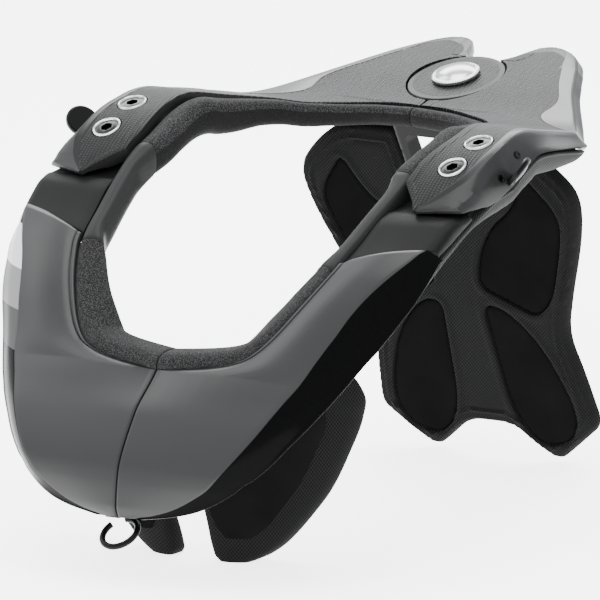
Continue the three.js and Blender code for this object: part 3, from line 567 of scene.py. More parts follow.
def rim_finish(name, tone, gloss, shine=0.2):
    finish = Finish(name, Specular_IOR_Level=shine, Coat_Weight=shine / 4, Coat_Roughness=0.15)
    fine = finish.grain(finish.place(), 600, 2)
    finish.paint(fine, tone, tone * 1.35, gloss, 0.08)
    return finish.material


def frame_finish():
    finish = Finish("brushed frame", Specular_IOR_Level=0.08)
    place = finish.place()
    streak = finish.node("Mapping", {"vector_type": "POINT"}, Vector=place, Scale=(60, 900, 900))
    lines = finish.grain(streak, 1.0, 3)
    finish.paint(lines, 0.002, 0.005, 0.42, 0.16)
    finish.relief(lines, 0.12, 0.0002)
    return finish.material


# %% Soft finishes
def foam_finish(name, dark, light):
    finish = Finish(name, Specular_IOR_Level=0.1, Sheen_Weight=0.02, Sheen_Roughness=0.4)
    place = finish.place()
    speckle = finish.grain(place, 1700, 2, 0.7)
    sharp = {"stops": [(0.45, (0, 0, 0)), (0.68, (1, 1, 1))]}
    amount = finish.node("RGBToBW", Color=finish.node("ValToRGB", sharp, Fac=speckle))
    finish.paint(amount, dark, light, 0.8, -0.3)
    finish.relief(speckle, 0.5, 0.0004)
    return finish.material


def mesh_cloth_finish(name, dark, light, pitch=0.0016):
    finish = Finish(name, Specular_IOR_Level=0.04, Sheen_Weight=0.01, Sheen_Roughness=0.5)
    place = finish.place()
    across = finish.axis(place, "X") + finish.axis(place, "Y")
    up = finish.axis(place, "Z")
    turns = 2 * math.pi / pitch
    dots = ((across * turns).sine() * (up * turns).sine()) * 0.5 + 0.5
    cloud = finish.grain(place, 25, 3)
    finish.feed("Base Color", finish.blend(dots * (0.75 + cloud * 0.5), grey(dark), grey(light)))
    finish.feed("Roughness", 0.95 - dots * 0.2)
    finish.relief(dots, 0.5, 0.0005)
    return finish.material


def leather_finish():
    finish = Finish("smooth inset", Specular_IOR_Level=0.0, Coat_Weight=0.0, Coat_Roughness=0.3)
    place = finish.place()
    cells = finish.node("TexVoronoi", {"feature": "DISTANCE_TO_EDGE"}, Vector=place, Scale=900.0)
    finish.feed("Base Color", finish.blend(finish.grain(place, 30), grey(0.0026), grey(0.0055)))
    finish.feed("Roughness", 0.5 - cells * 0.3)
    finish.relief(cells, 0.15, 0.0003)
    return finish.material


# %% Bright and trim finishes
def metal_finish(name, dark, light):
    finish = Finish(name, Metallic=1.0)
    fine = finish.grain(finish.place(), 500, 3)
    finish.paint(fine, dark, light, 0.16, 0.14)
    return finish.material


shell_satin = shell_finish()
bevel_black = bevel_finish()
wing_weave = wing_finish()
rim_gloss = rim_finish("wing rim", 0.011, 0.3, 0.12)
wing_border_sheen = edge_finish()
rim_dark = rim_finish("inner rim", 0.01, 0.4, 0.1)
trim_black = rim_finish("black trim", 0.001, 0.3, 0.08)
frame_brushed = frame_finish()
foam_speckled = foam_finish("speckled foam", 0.003, 0.045)
# Painted shade: a darker, smoother foam for the rolls' lower inner side, where shade falls.
foam_smooth_shaded = foam_finish("smooth shaded foam", 0.003, 0.007)
pad_cloth = mesh_cloth_finish("shoulder cloth", 0.014, 0.06)
back_mesh = mesh_cloth_finish("back mesh", 0.0018, 0.009, 0.0022)
chest_mesh = mesh_cloth_finish("chest mesh", 0.001, 0.009, 0.0024)
inset_leather = leather_finish()
screw_bright = metal_finish("bright screw", 0.4, 0.62)
screw_dark = metal_finish("dark screw", 0.012, 0.03)
print("finishes", len(bpy.data.materials))

# %% [markdown]
# ## The front shells
#
# Each shell is a broad curved plate. Its top is gently crowned, and on the outside it turns over a crease
# into a black bevel that ends in a thin lip. The crease is sharp near the chest and soft near the arm, so
# its radius is a column of its own. Along the neck edge a fine groove and ridge run beside the foam.

# %% Front shells
SHELL_COLUMNS = ["along", "outer_along", "crease", "lip", "drop", "soft"]
SHELL_ROWS = [
    (0.6438, 0.6036, 0.945, 0.982, 0.7, 5),
    (0.6522, 0.625, 0.915, 0.98, 0.8, 5),
    (0.673, 0.656, 0.86, 0.972, 0.92, 4.5),
    (0.6917, 0.685, 0.815, 0.95, 1, 4),
    (0.7179, 0.7179, 0.775, 0.918, 1, 3.2),
    (0.7426, 0.7426, 0.75, 0.886, 1, 2.5),
    (0.7606, 0.7606, 0.728, 0.857, 0.97, 2),
    (0.7857, 0.7857, 0.7, 0.82, 0.95, 1.6),
    (0.8127, 0.8127, 0.672, 0.78, 0.94, 1.3),
    (0.8366, 0.8366, 0.636, 0.742, 0.94, 1.2),
    (0.877, 0.877, 0.579, 0.669, 0.96, 1.2),
    (0.9021, 0.9021, 0.534, 0.62, 0.96, 1.2),
    (0.9252, 0.9252, 0.486, 0.566, 0.92, 1.2),
    (0.9377, 0.9377, 0.456, 0.535, 0.85, 1.2),
    (0.9538, 0.9538, 0.41, 0.49, 0.72, 1.2),
    (0.9663, 0.9663, 0.35, 0.44, 0.58, 1.2),
    (0.9824, 0.9824, 0.25, 0.34, 0.34, 1.2),
    (0.9913, 0.9913, 0.16, 0.235, 0.2, 1.2),
    (0.9975, 0.9975, 0.06, 0.11, 0.12, 1.2),
]
SHELL_WALL = 4
SHELL_CROWN = 3
SHELL_BEVEL = 13.5
LIP_TURN = 1.4  # how far the thin lip stands out below the bevel
CROWN_RUN = 0.06  # how soon the crown crosses the seam in front of the neck
EDGE_RUN = 0.004  # how far the rounded rear edge runs along the sheet


def edge_round(run):
    """How far an end is rounded down, from 1 at the edge to 0 once past it."""
    return np.clip(1 - run / EDGE_RUN, 0, 1) ** 2


def shell_rings(stations):
    read = all_columns(SHELL_ROWS, SHELL_COLUMNS, stations)
    inner = neck_x(stations)
    crease = read["crease"] * HALF_WIDTH
    lip = read["lip"] * HALF_WIDTH
    drop = read["drop"] * SHELL_BEVEL
    width = crease - inner
    crown = SHELL_CROWN * np.minimum(1, width / 30)
    groove = np.where(stations < NECK_FRONT, 1, 0) * np.minimum(1, width / 40)
    wall = np.minimum(SHELL_WALL, width * 0.3)
    turn = np.minimum(LIP_TURN, wall * 0.5)
    edge = [
        (inner, 0.6 + 0 * inner, 0.5),
        (inner + 0.9, 0 * inner, 0.4),
        (inner + 2.1, -0.1 * groove, 0.3),
        (inner + 2.7, 0.7 * groove, 0.25),
        (inner + 3.3, -0.15 * groove, 0.3),
    ]
    ahead = np.clip((stations - NECK_FRONT) / CROWN_RUN, 0, 1)
    ahead = ahead * ahead * (3 - 2 * ahead)
    edge = [(x, depth - crown * ahead, radius) for x, depth, radius in edge]
    top = []
    for share in (0.14, 0.25, 0.38, 0.5, 0.62, 0.74, 0.84, 0.92):
        arch = math.sin(math.pi * share) * (1 - ahead) + math.cos(math.pi / 2 * share) * ahead
        top.append((inner + width * share, -crown * arch, 2))
    side = [
        (crease, 0 * inner, read["soft"]),
        (crease + (lip - crease) * 0.55, drop * 0.42, 3),
        (lip - turn * 0.8, drop - 1.6, 0.8),
        (lip + turn * 0.4, drop - 0.6, 0.5),
        (lip + turn * 0.3, drop + 0.3, 0.4),
        (lip - wall * 0.7, drop + 0.5, 0.5),
        (crease - wall * 0.6, SHELL_WALL + 0 * inner, 1),
        (inner + width * 0.5, SHELL_WALL - crown, 4),
        (inner, SHELL_WALL + 0 * inner, 0.5),
    ]
    corners = edge + top + side
    rings = rounded(corners)
    rings[:, :, 1] += 1.3 * edge_round(stations - stations[0])[:, None]
    slant = (stations - read["outer_along"]) / (lip - inner)
    along = stations[:, None] - slant[:, None] * (rings[:, :, 0] - inner[:, None])
    rings = on_sheet(rings[:, :, 0], along, rings[:, :, 1])
    bevel_start = (len(edge) + len(top)) * 3 + 1
    bevel_end = (len(edge) + len(top) + 5) * 3
    slots = [1 if bevel_start <= i < bevel_end else 0 for i in range(rings.shape[1])]
    return rings, slots


def spaced(low, high, count, table):
    """Stations from low to high, with the table's own rows among them."""
    own = [row[0] for row in table if low < row[0] < high]
    return np.unique(np.round(np.concatenate([np.linspace(low, high, count), own]), 6))


shell_start = SHELL_ROWS[0][0]
shell_stations = spaced(shell_start, SHELL_ROWS[-1][0], 110, SHELL_ROWS)
shell_stations = np.unique(np.concatenate([shell_stations, shell_start + EDGE_RUN * np.linspace(0, 1, 5)]))
shell_ring_list, shell_slots = shell_rings(shell_stations)
front_shell = loft("front_shell", shell_ring_list, [shell_satin, bevel_black], shell_slots, 50)
dress_pair(front_shell, "front_shell", "shell")
print("front shell", len(front_shell.data.polygons), "faces")

# %% [markdown]
# ## The wings
#
# A wing is one plate with a turned-down side. From the hub it spreads forward to the arm and back to the
# horn. The horn's end and the arm's tip are rounded in plan. Its top has an embossed weave, and its outer
# border and its side have smooth finishes of their own. The border and a smooth band at the horn's end are
# painted paler as a sheen, and the arm fades into painted shade. The round hole for the hub, the seats of
# the screws and the stud's pocket are cut out of it, as they are drilled in the real moulding.

# %% Wings
WING_COLUMNS = ["along", "inner", "crease", "foot", "side", "plate"]
FOLLOW = -1.0  # this inner value means that the row follows the neck edge
WING_ROWS = [
    (0.0105, 0.205, 0.235, 0.25, 0.2, 0.55),
    (0.0125, 0.18, 0.275, 0.295, 0.28, 0.75),
    (0.0175, 0.155, 0.315, 0.34, 0.34, 0.9),
    (0.028, 0.138, 0.355, 0.385, 0.38, 0.95),
    (0.0496, 0.111, 0.41, 0.438, 0.4, 1),
    (0.0623, 0.079, 0.439, 0.466, 0.4, 1),
    (0.064, 0.003, 0.442, 0.469, 0.4, 1),
    (0.0905, 0.003, 0.493, 0.523, 0.4, 1),
    (0.118, 0.003, 0.547, 0.579, 0.4, 1),
    (0.1643, 0.003, 0.657, 0.693, 0.4, 1),
    (0.1942, FOLLOW, 0.733, 0.771, 0.42, 1),
    (0.1953, FOLLOW, 0.736, 0.774, 0.42, 1),
    (0.2032, FOLLOW, 0.757, 0.796, 0.43, 1),
    (0.2188, FOLLOW, 0.797, 0.84, 0.44, 1),
    (0.2323, FOLLOW, 0.836, 0.882, 0.47, 1),
    (0.2553, FOLLOW, 0.889, 0.95, 0.37, 1),
    (0.2737, FOLLOW, 0.918, 0.985, 0.42, 1),
    (0.2897, FOLLOW, 0.92, 0.994, 0.43, 1),
    (0.3263, FOLLOW, 0.905, 0.998, 0.5, 1),
    (0.3584, FOLLOW, 0.905, 0.99, 0.62, 1),
    (0.4035, FOLLOW, 0.925, 0.988, 0.83, 1),
    (0.4428, FOLLOW, 0.94, 0.992, 1, 1),
    (0.4717, FOLLOW, 0.938, 0.99, 1, 1),
    (0.4991, FOLLOW, 0.925, 0.989, 0.85, 1),
    (0.5083, FOLLOW, 0.91, 0.988, 0.72, 1),
    (0.518, 0.686, 0.893, 0.987, 0.6, 0.97),
    (0.525, 0.711, 0.88, 0.984, 0.5, 0.94),
    (0.53, 0.726, 0.867, 0.98, 0.44, 0.82),
    (0.5382, 0.75, 0.845, 0.976, 0.33, 0.62),
    (0.545, 0.768, 0.82, 0.92, 0.22, 0.46),
    (0.5533, 0.785, 0.795, 0.803, 0.13, 0.3),
]
HORN_END = 0.064  # from here to the neck both wings meet at the seam
ARM_END = 0.5083  # from here on the arm's tip is rounded in plan
TIP_ALONG, TIP_INNER = [0.525, 0.5382, 0.5533], [99.5, 105, 109.9]
WING_PLATE = 8
ARM_SIDE = 20
ARM_WALL = 4
WING_CROWN = 0.8
RIM_WIDTH = 5
ARM_BULGE = [0.43, 0.5]  # between these the arm's flank starts to stand out
# The border widens near the arm's base to carry its painted sheen there.
FLARE_AT, FLARE_RUN, FLARE_WIDTH = 0.191, 0.03, 16  # where the smooth border is wider, and by how much
WEAVE_END, BORDER_END = 16, 19  # points of a section, counted from the inner edge


def wing_inner(stations):
    """The inner edge of a wing: the horn, the seam, the neck edge, then the arm's tip."""
    held = [(along, inner * HALF_WIDTH) for along, inner, *_ in WING_ROWS if inner != FOLLOW]
    held = np.array(held)
    read = np.interp(stations, held[:, 0], held[:, 1])
    read = np.where((stations > HORN_END) & (stations < NECK_BACK), SEAM, read)
    follows = (stations >= NECK_BACK) & (stations <= ARM_END)
    tip_start = neck_x(np.array(ARM_END))
    tip = np.interp(stations, [ARM_END, *TIP_ALONG], [tip_start, *TIP_INNER])
    inner = np.where(follows, neck_x(np.maximum(stations, NECK_BACK)), read)
    return np.maximum(np.where(stations > ARM_END, tip, inner), SEAM)


def wing_rings(stations):
    read = all_columns(WING_ROWS, WING_COLUMNS, stations)
    inner = wing_inner(stations)
    crease = read["crease"] * HALF_WIDTH
    foot = read["foot"] * HALF_WIDTH
    side = read["side"] * ARM_SIDE
    plate = read["plate"] * WING_PLATE
    width = crease - inner
    wall = np.minimum(ARM_WALL, (foot - inner) * 0.3)
    crown = WING_CROWN * read["plate"]
    rear = np.interp(stations, [0.1, 0.22], [1, 0])
    rim = np.minimum(RIM_WIDTH + 4 * rear, width * 0.2)
    zero = 0 * inner
    low = np.maximum(side, plate * 0.9)
    bulge = np.interp(stations, ARM_BULGE, [0, 1])
    wider = FLARE_WIDTH * np.exp(-(((stations - FLARE_AT) / FLARE_RUN) ** 2))
    flare = rim + np.minimum(wider, width * 0.3)
    corners = [
        (inner, zero, np.minimum(1.2, width * 0.2)),
        (inner + rim, -crown * 0.3, 0.6),
        (inner + rim + 0.8, -crown * 0.3 + 0.35, 0.4),
        (inner + width * 0.5, -crown, 8),
        (crease - flare - 0.8, -crown * 0.3 + 0.35, 0.4),
        (crease - flare, -crown * 0.3, 0.6),
        (crease, 0.8 * rear, np.minimum(2.2 + 3 * rear, width * 0.2)),
        (crease + (foot - crease) * (0.45 + 0.42 * bulge), side * (0.5 - 0.3 * bulge), 4),
        (foot, low - 1, 1),
        (foot - wall, np.maximum(side, plate), 0.8),
        (np.maximum(crease - wall * 0.25, inner + width * 0.5), plate, 1),
        (inner + width * 0.4, plate, 2),
        (inner, plate, np.minimum(1.2, width * 0.2)),
    ]
    flat = rounded(corners)
    rings = on_sheet(flat[:, :, 0], stations[:, None], flat[:, :, 1])
    slots = [0 if i < WEAVE_END else 2 if i < BORDER_END else 1 for i in range(rings.shape[1])]
    return rings, slots


def hub_cutter(radius, low, high):
    """A round bar along the hub's axis."""
    return turned("cutter", [(radius, low), (radius, high)], None, (0, 0, 0), HUB_AXIS, 96)


HUB_RADIUS = 26.7
HUB_GAP = 0.8
SCREW_RADIUS = 8
SCREW_DEPTH = 3
SCREW_PLACES = {"screw_upper": (0.4215, 0.821), "screw_lower": (0.4765, 0.819)}
STUD_CENTRE = (1.036 * HALF_WIDTH, -0.449 * FRONT_REACH, -0.059 * CHEST_DROP)
STUD_FACING = (0.69, 0.355, -0.64)
STUD_RADIUS = 9
STUD_DEPTH = 2.6
SEAT_GAP = 0.5  # round a screw or a stud


def screw_seat(along, across):
    seat = on_sheet(across * HALF_WIDTH, along, 0)
    return seat, seat - on_sheet(across * HALF_WIDTH, along, 1)


def wing_cutters():
    yield hub_cutter(HUB_RADIUS + HUB_GAP, -40, 40)
    for along, across in SCREW_PLACES.values():
        seat, facing = screw_seat(along, across)
        profile = [(SCREW_RADIUS + SEAT_GAP, -SCREW_DEPTH), (SCREW_RADIUS + SEAT_GAP, 12)]
        yield turned("cutter", profile, None, seat, facing, 48)
    profile = [(STUD_RADIUS + SEAT_GAP, -STUD_DEPTH), (STUD_RADIUS + SEAT_GAP, 12)]
    yield turned("cutter", profile, None, STUD_CENTRE, STUD_FACING, 48)


wing_stations = spaced(WING_ROWS[0][0], WING_ROWS[-1][0], 150, WING_ROWS)
wing_ring_list, wing_slots = wing_rings(wing_stations)
wing = loft("wing", wing_ring_list, [wing_weave, rim_gloss, wing_border_sheen], wing_slots)
cut(wing, list(wing_cutters()))
dress_pair(wing, "wing", "moulding")
print("wing", len(wing.data.polygons), "faces")

# %% [markdown]
# ## The hub
#
# Between the wings sits a round plate with the same weave, on a wider flange that carries both halves. A
# bright domed button with a knurled rim covers the pivot.

# %% Hub plate and button
FLANGE_RADIUS = 36
FLANGE_TOP = -8.6
FLANGE_BOTTOM = -11.6
BUTTON_RADIUS = 13.2
KNURLS = 60


def hub_plate():
    profile = [
        (FLANGE_RADIUS - 0.8, FLANGE_BOTTOM),
        (FLANGE_RADIUS, FLANGE_BOTTOM + 0.8),
        (FLANGE_RADIUS, FLANGE_TOP - 0.6),
        (FLANGE_RADIUS - 0.6, FLANGE_TOP),
        (HUB_RADIUS - 0.3, FLANGE_TOP + 0.02),
        (HUB_RADIUS, FLANGE_TOP + 0.4),
        (HUB_RADIUS, -1.1),
        (HUB_RADIUS - 0.5, -0.55),
        (HUB_RADIUS - 3, -0.35),
        (BUTTON_RADIUS + 2, 0),
        (BUTTON_RADIUS, 0),
    ]
    slots = [1] * 8 + [0] * 3
    return turned("hub_plate_made", profile, [wing_weave, rim_gloss], (0, 0, 0), HUB_AXIS, 96, 30, slots)


def hub_button():
    profile = [
        (BUTTON_RADIUS - 0.6, 0.35),
        (BUTTON_RADIUS, 0.9),
        (BUTTON_RADIUS, 2.2),
        (BUTTON_RADIUS - 0.8, 2.8),
        (BUTTON_RADIUS - 1.8, 2.9),
        (BUTTON_RADIUS - 2.2, 2.5),
        (BUTTON_RADIUS * 0.76, 3.4),
        (BUTTON_RADIUS * 0.6, 4.4),
        (BUTTON_RADIUS * 0.4, 5.2),
        (BUTTON_RADIUS * 0.2, 5.7),
        (BUTTON_RADIUS * 0.04, 5.85),
    ]
    made = turned("hub_button_made", profile, screw_bright, (0, 0, 0), HUB_AXIS, KNURLS * 4)
    notch = 0.45 * MM
    centre = Vector(HUB)
    for vertex in made.data.vertices:
        spoke = vertex.co - centre
        height = spoke.dot(HUB_AXIS)
        spoke -= HUB_AXIS * height
        if 0.8 * MM < height < 2.85 * MM and spoke.length > (BUTTON_RADIUS - 1) * MM:
            angle = math.atan2(spoke.dot(Vector((0, 1, 0))), spoke.x)
            vertex.co -= spoke.normalized() * notch * (0.5 + 0.5 * math.cos(angle * KNURLS))
    return made


dress(hub_plate(), "back", "moulding", "hub_plate")
dress(hub_button(), "back", "metal", "hub_button")
print("hub plate", HUB_RADIUS * 2, "mm, button", BUTTON_RADIUS * 2, "mm")

# %% [markdown]
# ## Screws and studs
#
# Two ring-headed screws hold each arm to the frame below. They are turned bodies, and the hexagonal
# socket with dark walls is cut into the head. The strap's stud on the side is a lens on a base, and two
# small sunk screws sit beside it.

# %% Screws and studs
SOCKET_RADIUS = 3.4


def screw(name, place):
    seat, facing = screw_seat(*place)
    rim = [
        (SCREW_RADIUS - 0.4, -SCREW_DEPTH + 0.4),
        (SCREW_RADIUS, -SCREW_DEPTH + 0.8),
        (SCREW_RADIUS, 0.3),
        (SCREW_RADIUS - 0.3, 0.8),
        (SCREW_RADIUS - 0.8, 1),
        (SCREW_RADIUS - 1.2, 0.8),
    ]
    face = [
        (SCREW_RADIUS - 1.5, 0.1),
        (SCREW_RADIUS - 2.4, 0),
        (SOCKET_RADIUS + 0.8, 0.5),
        (SOCKET_RADIUS + 0.2, 0.5),
        (SOCKET_RADIUS * 0.2, 0.5),
    ]
    finishes = [screw_bright, screw_dark, trim_black]
    slots = [0] * len(rim) + [1] * len(face)
    made = turned(name, rim + face, finishes, seat, facing, 48, 30, slots)
    socket = [(SOCKET_RADIUS, -1.6), (SOCKET_RADIUS, 4)]
    bar = turned("cutter", socket, finishes, seat, facing, 6, 30, [2, 2])
    return cut(made, [bar])


for screw_name, screw_place in SCREW_PLACES.items():
    dress_pair(screw(screw_name, screw_place), screw_name, "metal")


def strap_stud():
    profile = [
        (STUD_RADIUS - 1, -2.1),
        (STUD_RADIUS, -1.2),
        (STUD_RADIUS, 0.6),
        (STUD_RADIUS - 0.8, 1.4),
        (STUD_RADIUS - 1.6, 1.5),
        (STUD_RADIUS - 2.1, 1.1),
        (STUD_RADIUS * 0.55, 1.9),
        (STUD_RADIUS * 0.3, 2.3),
        (STUD_RADIUS * 0.04, 2.4),
    ]
    return turned("strap_stud", profile, trim_black, STUD_CENTRE, STUD_FACING, 64)


dress_pair(strap_stud(), "strap_stud", "trim")

CLIP_OFFSETS = {"upper": (-0.5, 8.8), "lower": (-9.6, -2.9)}  # mm to the right and up, seen from the side
CLIP_RADIUS = 2.3


def strap_clip(offset):
    """A small sunk screw on the arm's side, found by looking onto the wing from the front quarter."""
    a = VIEW_AZIMUTH
    right = Vector((math.cos(a), math.sin(a), 0))
    centre = Vector(HUB) + Vector(STUD_CENTRE) * MM + right * offset[0] * MM + Vector((0, 0, offset[1] * MM))
    towards = Vector((math.sin(a), -math.cos(a), 0.2)).normalized()
    _, place, facing, _ = wing.ray_cast(centre + towards * 0.1, -towards)
    profile = [
        (CLIP_RADIUS - 0.3, -1),
        (CLIP_RADIUS, -0.4),
        (CLIP_RADIUS, 0.35),
        (CLIP_RADIUS - 0.5, 0.5),
        (CLIP_RADIUS - 0.9, 0.1),
        (CLIP_RADIUS * 0.5, 0.1),
        (CLIP_RADIUS * 0.04, 0.3),
    ]
    slots = [0] * 5 + [1] * 2
    seat = (place - Vector(HUB)) / MM
    return turned("clip", profile, [trim_black, screw_dark], seat, facing, 24, 30, slots)


for clip_name, clip_offset in CLIP_OFFSETS.items():
    clip = strap_clip(clip_offset)
    clip_other = mirror(clip, f"strap_clip_{clip_name}_right")
    clip.name = clip.data.name = f"strap_clip_{clip_name}_left"
    dress(clip, "left_half", "trim")
    dress(clip_other, "right_half", "trim")
print("screws and studs", len(SCREW_PLACES) * 2 + 2)

# %% [markdown]
# ## The mid frames
#
# Below the arm's tip a darker frame carries on to the front shell. Its end is slanted in plan like the
# shell's edge, so that the two meet in one straight line.

# %% Mid frames
MID_COLUMNS = ["along", "outer", "top", "bottom", "slanted"]
MID_ROWS = [
    (0.4619, 0.9, 1.15, 1.9, 0),
    (0.4865, 0.92, 1.2, 2, 0),
    (0.4991, 0.912, 1.28, 2.1, 0),
    (0.5172, 0.908, 1.24, 2, 0),
    (0.526, 0.915, 1.17, 1.95, 0),
    (0.53, 0.978, 1.12, 1.9, 0),
    (0.545, 0.983, 0.76, 1.7, 0),
    (0.5533, 0.985, 0.5, 1.6, 0),
    (0.5788, 0.984, 0.3, 1.45, 0.2),
    (0.6425, 0.975, 0.3, 1.18, 1),
]
SEAM_SLANT = (0.6438 - 0.6036) / (0.982 * HALF_WIDTH - 0.612 * HALF_WIDTH)


def mid_rings(stations):
    read = all_columns(MID_ROWS, MID_COLUMNS, stations)
    inner = neck_x(stations) + 0.3
    outer = read["outer"] * HALF_WIDTH
    top = read["top"] * WING_PLATE
    bottom = read["bottom"] * WING_PLATE
    corners = [
        (inner, top + 0.4, 0.8),
        (inner + 5, top - 0.2, 2),
        (inner * 0.5 + outer * 0.5, top - 0.5, 6),
        (outer - 5, top - 0.1, 2),
        (outer, top + 2.5, 2.5),
        (outer - 0.3, bottom - 1, 1),
        (outer - 3, bottom, 1),
        (inner, bottom, 1),
    ]
    flat = rounded(corners, 4)
    flat[:, :, 1] += 0.9 * edge_round(stations[-1] - stations)[:, None]
    slant = SEAM_SLANT * read["slanted"]
    along = stations[:, None] - slant[:, None] * (flat[:, :, 0] - inner[:, None])
    return on_sheet(flat[:, :, 0], along, flat[:, :, 1])


mid_end = MID_ROWS[-1][0]
mid_stations = spaced(MID_ROWS[0][0], mid_end, 60, MID_ROWS)
mid_stations = np.unique(np.concatenate([mid_stations, mid_end - EDGE_RUN * np.linspace(0, 1, 5)]))
mid_frame = loft("mid_frame", mid_rings(mid_stations), frame_brushed)
dress_pair(mid_frame, "mid_frame", "frame")
print("mid frame", len(mid_frame.data.polygons), "faces")

# %% [markdown]
# ## Foam rolls and the rim between them
#
# The neck is lined with soft rolls of moulded foam, and between the rear and the front roll the hard rim
# shows. All three follow the neck edge, so one function makes them: a rounded section that grows from the
# back of the neck to the front. Foam gives a little between its ends, so its section also swells softly.

# %% Foam rolls and rims
ROLL_COLUMNS = ["along", "width", "height", "rise"]
ROLL_ROWS = [
    (0.1942, 0.5, 0.47, -0.05),
    (0.2032, 0.51, 0.49, -0.04),
    (0.2323, 0.53, 0.56, 0),
    (0.2897, 0.7, 0.64, -0.1),
    (0.3584, 1, 0.9, -0.25),
    (0.4428, 0.95, 0.82, -0.4),
    (0.4865, 0.8, 0.85, -0.3),
    (0.53, 0.6, 0.85, -0.25),
    (0.62, 0.6, 0.9, 0),
    (0.655, 0.82, 0.92, 0.05),
    (0.7179, 1.1, 1.15, 0.3),
    (0.7606, 1.3, 1.25, 0.65),
    (0.7857, 1.36, 1.2, 0.9),
    (0.8127, 1.32, 1, 1.15),
]
ROLL_WIDTH = 18
ROLL_HEIGHT = 22
ROLL_RISE = 7
REAR_FOAM_END = 0.4865
FRONT_FOAM_START = 0.655
RIM_GAP = 0.0014
SMOOTHING = 12  # samples each way that even out the neck edge
# The second finish is smoother and darker, painted shade on the rolls' lower inner side.
SMOOTH_SHADED_SIDE = (-110, 12)  # degrees of a roll's section that take its second finish


def neck_path(low, high, count):
    """Evenly spaced stations of the neck edge, in plan, with the way in towards the neck."""
    fine = np.linspace(NECK_BACK, NECK_FRONT, 1500)
    points = on_sheet(neck_x(fine), fine, 0)
    held = np.pad(points[:, 0], SMOOTHING, "reflect", reflect_type="odd")
    window = 2 * SMOOTHING + 1
    points[:, 0] = np.convolve(held, np.ones(window) / window, "valid")
    run = np.gradient(points, axis=0)
    run[:, 2] = 0
    run /= np.linalg.norm(run, axis=1)[:, None]
    inwards = np.stack([run[:, 1], -run[:, 0], run[:, 2]], 1)
    towards = np.array([0, -FRONT_REACH / 2, 0]) - points
    inwards *= np.sign((inwards * towards).sum(1))[:, None]
    travel = np.concatenate([[0], np.cumsum(np.linalg.norm(np.diff(points, axis=0), axis=1))])
    start, end = np.interp([low, high], fine, travel)
    stops = np.linspace(start, end, count)
    stations = np.interp(stops, travel, fine)
    place = np.stack([np.interp(stops, travel, points[:, i]) for i in range(3)], 1)
    way = np.stack([np.interp(stops, travel, inwards[:, i]) for i in range(3)], 1)
    return stations, place, way / np.linalg.norm(way, axis=1)[:, None]


def roll(name, low, high, finishes, count, fullness, end_round):
    stations, place, way = neck_path(low, high, count)
    read = all_columns(ROLL_ROWS, ROLL_COLUMNS, stations)
    angles = np.linspace(0, 2 * math.pi, 40, endpoint=False)
    across = np.sign(np.cos(angles)) * np.abs(np.cos(angles)) ** fullness
    lift = np.sign(np.sin(angles)) * np.abs(np.sin(angles)) ** fullness
    travel = np.linspace(0, 1, count) * np.linalg.norm(np.diff(place, axis=0), axis=1).sum()
    to_end = np.minimum(travel, travel[-1] - travel)
    swell = np.sqrt(np.clip(1 - (1 - np.clip(to_end / end_round, 0, 1)) ** 2, 0, 1))
    swell = 0.97 + 0.03 * swell
    width = read["width"] * ROLL_WIDTH
    height = read["height"] * ROLL_HEIGHT
    top = read["rise"] * ROLL_RISE
    rings = []
    for i in range(count):
        inward = 0.3 + width[i] / 2 * (1 + across * swell[i])
        raised = top[i] - height[i] / 2 * (1 - lift * swell[i])
        ring = place[i] + way[i] * inward[:, None]
        ring[:, 2] = place[i][2] + raised
        ring[:, 0] = np.maximum(ring[:, 0], SEAM)
        rings.append(ring)
    low_side, high_side = SMOOTH_SHADED_SIDE
    # The lower inner side takes the darker foam, painted shade.
    lower = [int(low_side < (angle + 180) % 360 - 180 < high_side) for angle in np.degrees(angles)]
    return loft(name, np.array(rings), finishes, lower, 60)


foam_finishes = [foam_speckled, foam_smooth_shaded]
foam_rear = roll("foam_rear", NECK_BACK, REAR_FOAM_END - RIM_GAP, foam_finishes, 90, 0.8, 1.5)
inner_rim = roll("inner_rim", REAR_FOAM_END, FRONT_FOAM_START - RIM_GAP, [rim_dark] * 2, 40, 0.7, 1)
foam_front = roll("foam_front", FRONT_FOAM_START, NECK_FRONT, foam_finishes, 80, 0.62, 1.5)
for piece in (*dress_pair(foam_rear, "foam_rear", "foam"), *dress_pair(foam_front, "foam_front", "foam")):
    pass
dress_pair(inner_rim, "inner_rim", "trim")
print("rolls", len(foam_rear.data.polygons), len(foam_front.data.polygons), "faces")

# %% [markdown]
# ## Shoulder pads
#
# A cloth-covered pad lies under each arm and runs forward below the frame. It shows as a grey band under
# the wing's side. Its underside is bowed and its lower edges are well rounded, as foam in cloth is.

# %% Shoulder pads
SHOULDER_COLUMNS = ["along", "inner", "outer", "low"]
SHOULDER_ROWS = [
    (0.262, 0.8, 0.95, 0.66),
    (0.2897, 0.74, 0.985, 0.84),
    (0.3263, 0.697, 0.988, 1.05),
    (0.3584, 0.697, 0.98, 1.22),
    (0.4035, 0.697, 0.978, 1.4),
    (0.4428, 0.697, 0.982, 1.5),
    (0.4717, 0.697, 0.98, 1.42),
    (0.5083, 0.697, 0.978, 1.2),
    (0.5382, 0.697, 0.975, 1.02),
    (0.5788, 0.69, 0.975, 0.9),
    (0.6036, 0.687, 0.972, 0.85),
    (0.625, 0.7, 0.965, 0.87),
    (0.656, 0.73, 0.955, 0.92),
    (0.685, 0.76, 0.93, 0.93),
    (0.7179, 0.79, 0.88, 0.93),
]
# how deep below the sheet the pad starts, under the plate, the mid frame and then the shell
SHOULDER_TOP = [0.26, 0.45, 0.47, 0.5, 0.58, 0.62, 0.66], [8.6, 8.6, 15.5, 16.5, 12.2, 9.8, 5.2]
SHOULDER_SIDE = [0.25, 0.33, 0.44, 0.49, 0.52, 0.6, 0.64], [8.6, 10.5, 20.6, 17.6, 16.5, 11.4, 12.2]
WELT = 0.7  # the thin light edge along the pad's side


